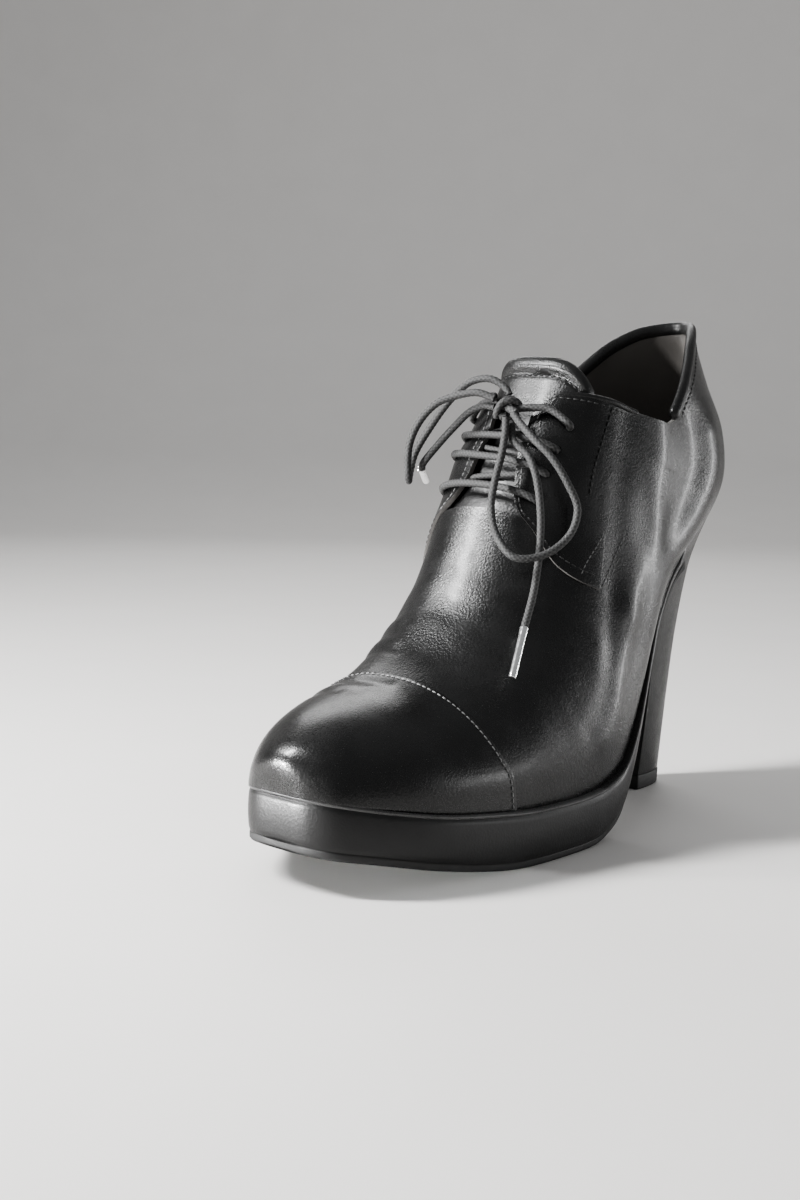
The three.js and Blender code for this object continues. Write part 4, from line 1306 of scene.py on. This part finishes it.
def course(rows, lift, steps=60):
    """A course over the last through stations and places round the ring."""
    rows = np.asarray(rows, float)
    fine = np.linspace(0, 1, steps) * (len(rows) - 1)
    station, around = (read(np.arange(len(rows)), rows[:, k], fine) for k in range(2))
    return skin(station, around, lift), last_normal(station, around)


def facing_course(side, a, b):
    a, b = paired(a, b)
    station, around = FACING_SPOT[side](a, b)
    return skin(station, around, facing_lift(a, b) + 0.05), last_normal(station, around)


def cap_course():
    share = np.linspace(-1, 1, 240)
    around = share * cap_spread
    for _ in range(6):
        station = look_up(CAP_SEAM, 1, around) - 0.075
        around = ring_place(station, share * 0.985)
    return skin(station, around, cap_step + 0.02), last_normal(station, around)


def collar_course():
    station, around = settle(rim_line(-3.4, 0.385)[3:-3], 9, 15)
    points = skin(station, around, 0.05)
    for _ in range(6):
        points[1:-1] = (points[:-2] + 2 * points[1:-1] + points[2:]) / 4
    return points, last_normal(station, around)


def tongue_course():
    a = np.linspace(0.06, 0.94, 80)
    station, around = tongue_spot(a, np.full(80, tongue_seam))
    return skin(station, around, tongue_face - 0.12, relief=False), last_normal(station, around)


def stitch_rows():
    run = np.linspace(0, 1, 80)
    light = [cap_course()]
    dark = [tongue_course(), collar_course()]
    for side in (1, -1):
        light.append(facing_course(side, 0.065, 0.03 + 0.92 * run))
        dark.append(facing_course(side, 0.065 + 0.86 * run, 0.035))
        dark.append(facing_course(side, 0.08 + 0.8 * run, 0.955))
        dark.append(course([(11.56, side * 0.302), (10.88, side * 0.292), (10.14, side * 0.292),
                            (9.12, side * 0.295)], 0.62))
        light.append(facing_course(side, 0.8 + 0.185 * run, 0.02 + 0.19 * run))
        corner = 0.37 if side > 0 else 0.388
        light.append(course([(8.06, side * corner), (8.5, side * (corner + 0.03)),
                             (8.94, side * (corner + 0.06))], 0.1))
        dark.append(course([(10.2, side * 0.988), (11.5, side * 0.988), (13, side * 0.985),
                            (14.3, side * 0.985)], 0.03, 90))
    return light, dark


def welt_under(y):
    return sole_top(y) - bead_height


def outsole_top(y):
    return sole_under(y) + tread_height


# Pieces in the order of their making
body = make_body()
dress(body, black_leather, "leather", "upper", more=(lining, cut_edge_painted_highlight), angle=45)
dress(make_cap(), cap_leather, "leather", more=(cut_edge_painted_highlight,), angle=45)
for which, side in SIDES.items():
    facing = make_facing(f"facing_{which}", side)
    dress(facing, black_leather, "leather", more=(lining, cut_edge_painted_highlight), angle=40)
for which, side in SIDES.items():
    dress(make_binding(f"top_binding_{which}", side), collar_leather, "leather", angle=80)
light_rows, dark_rows = stitch_rows()
light_stitches = make_stitches("light_stitches", light_rows, 2.1, 1.75, 0.52)
dress(light_stitches, light_thread, "cord", angle=80)
dark_stitches = make_stitches("dark_stitches", dark_rows, 2.5, 2.1, 0.62)
dress(dark_stitches, dark_thread, "cord", angle=80)
punch(body, EYELETS[1] + EYELETS[-1])
soften(body, 45)
dress(make_collar_rim(), collar_leather, "leather", "collar_rim", angle=80)
dress(make_tongue(), collar_leather, "leather", "tongue", angle=80)
dress(make_insole(), lining, "lining", "insole", angle=40)
bead = sole_layer("bead", 2.7, welt_under, sole_top, swell(5, 0.15, 0.3, 0.35))
# The bead takes the lighter leather, a painted highlight along the platform's top edge
dress(bead, bead_leather_painted_highlight, "edge", "welt", angle=50)
cover = sole_layer("platform_cover", 2.0, lambda y: outsole_top(y) - 0.2,
                   lambda y: welt_under(y) + 0.1, swell(14, 0.55))
dress(cover, sole_leather, "leather", "platform", angle=50)
tread = sole_layer("tread", 1.0, sole_under, outsole_top, swell(6, 0.1, 0.2, 0.6))
dress(tread, rubber, "rubber", "outsole", angle=50)
dress(make_heel(), sole_leather, "leather", "heel", angle=50)
dress(make_heel_tip(), rubber, "rubber", "heel_tip", angle=50)
for pair in (1, 2, 3):
    dress(make_bar(pair), lace_cord, "cord", f"lace_bar_{pair}")
for low, high, side in ((1, 0, 1), (2, 1, -1), (3, 2, 1)):
    dress(make_undercross(low, high, side), lace_cord, "cord")
dress(make_knot(), lace_cord, "cord", "lace_knot")


# Studio
def make_backdrop():
    """Floor and wall of one pale paper sheet, swept up far behind the boot."""
    ahead = np.array([-camera_back[0], -camera_back[1], 0])
    ahead /= np.linalg.norm(ahead)
    beside = np.array([ahead[1], -ahead[0], 0])
    bend = np.linspace(0, np.pi / 2, 24)[1:]
    run = np.r_[-3500, 0, 1500, 1500 + 900 * np.sin(bend), 2400]
    rise = np.r_[0, 0, 0, 900 * (1 - np.cos(bend)), 4200]

    def place(a, b):
        k = row_at(b, len(run) - 1)
        return (ahead * run[k][:, None] + beside * (a[:, None] - 0.5) * 12000
                + np.array([0, 0, 1.0]) * rise[k][:, None])

    sheet = new_sheet("backdrop", 8, len(run) - 1, place)
    aim(sheet, (0, 0, -4000))
    soften(sheet, 80)
    return sheet


backdrop = make_backdrop()
backdrop.data.materials.append(plain_finish(
    "studio_floor", (14, 3), (grey(0.72, 0.02), grey(0.76, 0.02)), None, (0.0001, 0.2),
    fine=(900, 2), Roughness=0.55))


def area_light(name, place, target, size, power, spread=180):
    bpy.ops.object.select_all(action="DESELECT")
    bpy.ops.object.light_add(type="AREA", location=Vector(place) * MM)
    light = bpy.context.object
    light.name = name
    light.data.shape = "RECTANGLE"
    light.data.size, light.data.size_y = size[0] * MM, size[1] * MM
    light.data.energy = power
    light.data.spread = math.radians(spread)
    way = Vector(target) * MM - light.location
    light.rotation_euler = way.to_track_quat("-Z", "Y").to_euler()


area_light("key_left", (-455, -475, 720), (0, 0, 90), (100, 320), 18)
area_light("toe_spot", (-560, -810, 66), (0, -80, 42), (52, 52), 2.0, 50)
area_light("back_right", (400, 780, 120), (20, 60, 90), (60, 240), 1.4)
area_light("side_right", (800, 420, 70), (40, -10, 40), (260, 110), 0.8)
area_light("back_top", (-845, 975, 980), (0, 0, 20), (1100, 420), 5.5)
world = bpy.data.worlds.new("studio")
bpy.context.scene.world = world
bpy.context.scene.view_settings.look = "AgX - Medium High Contrast"
world.use_nodes = True
sky = world.node_tree.nodes["Background"].inputs
sky["Color"].default_value = (0.86, 0.87, 0.88, 1)
sky["Strength"].default_value = 0.43
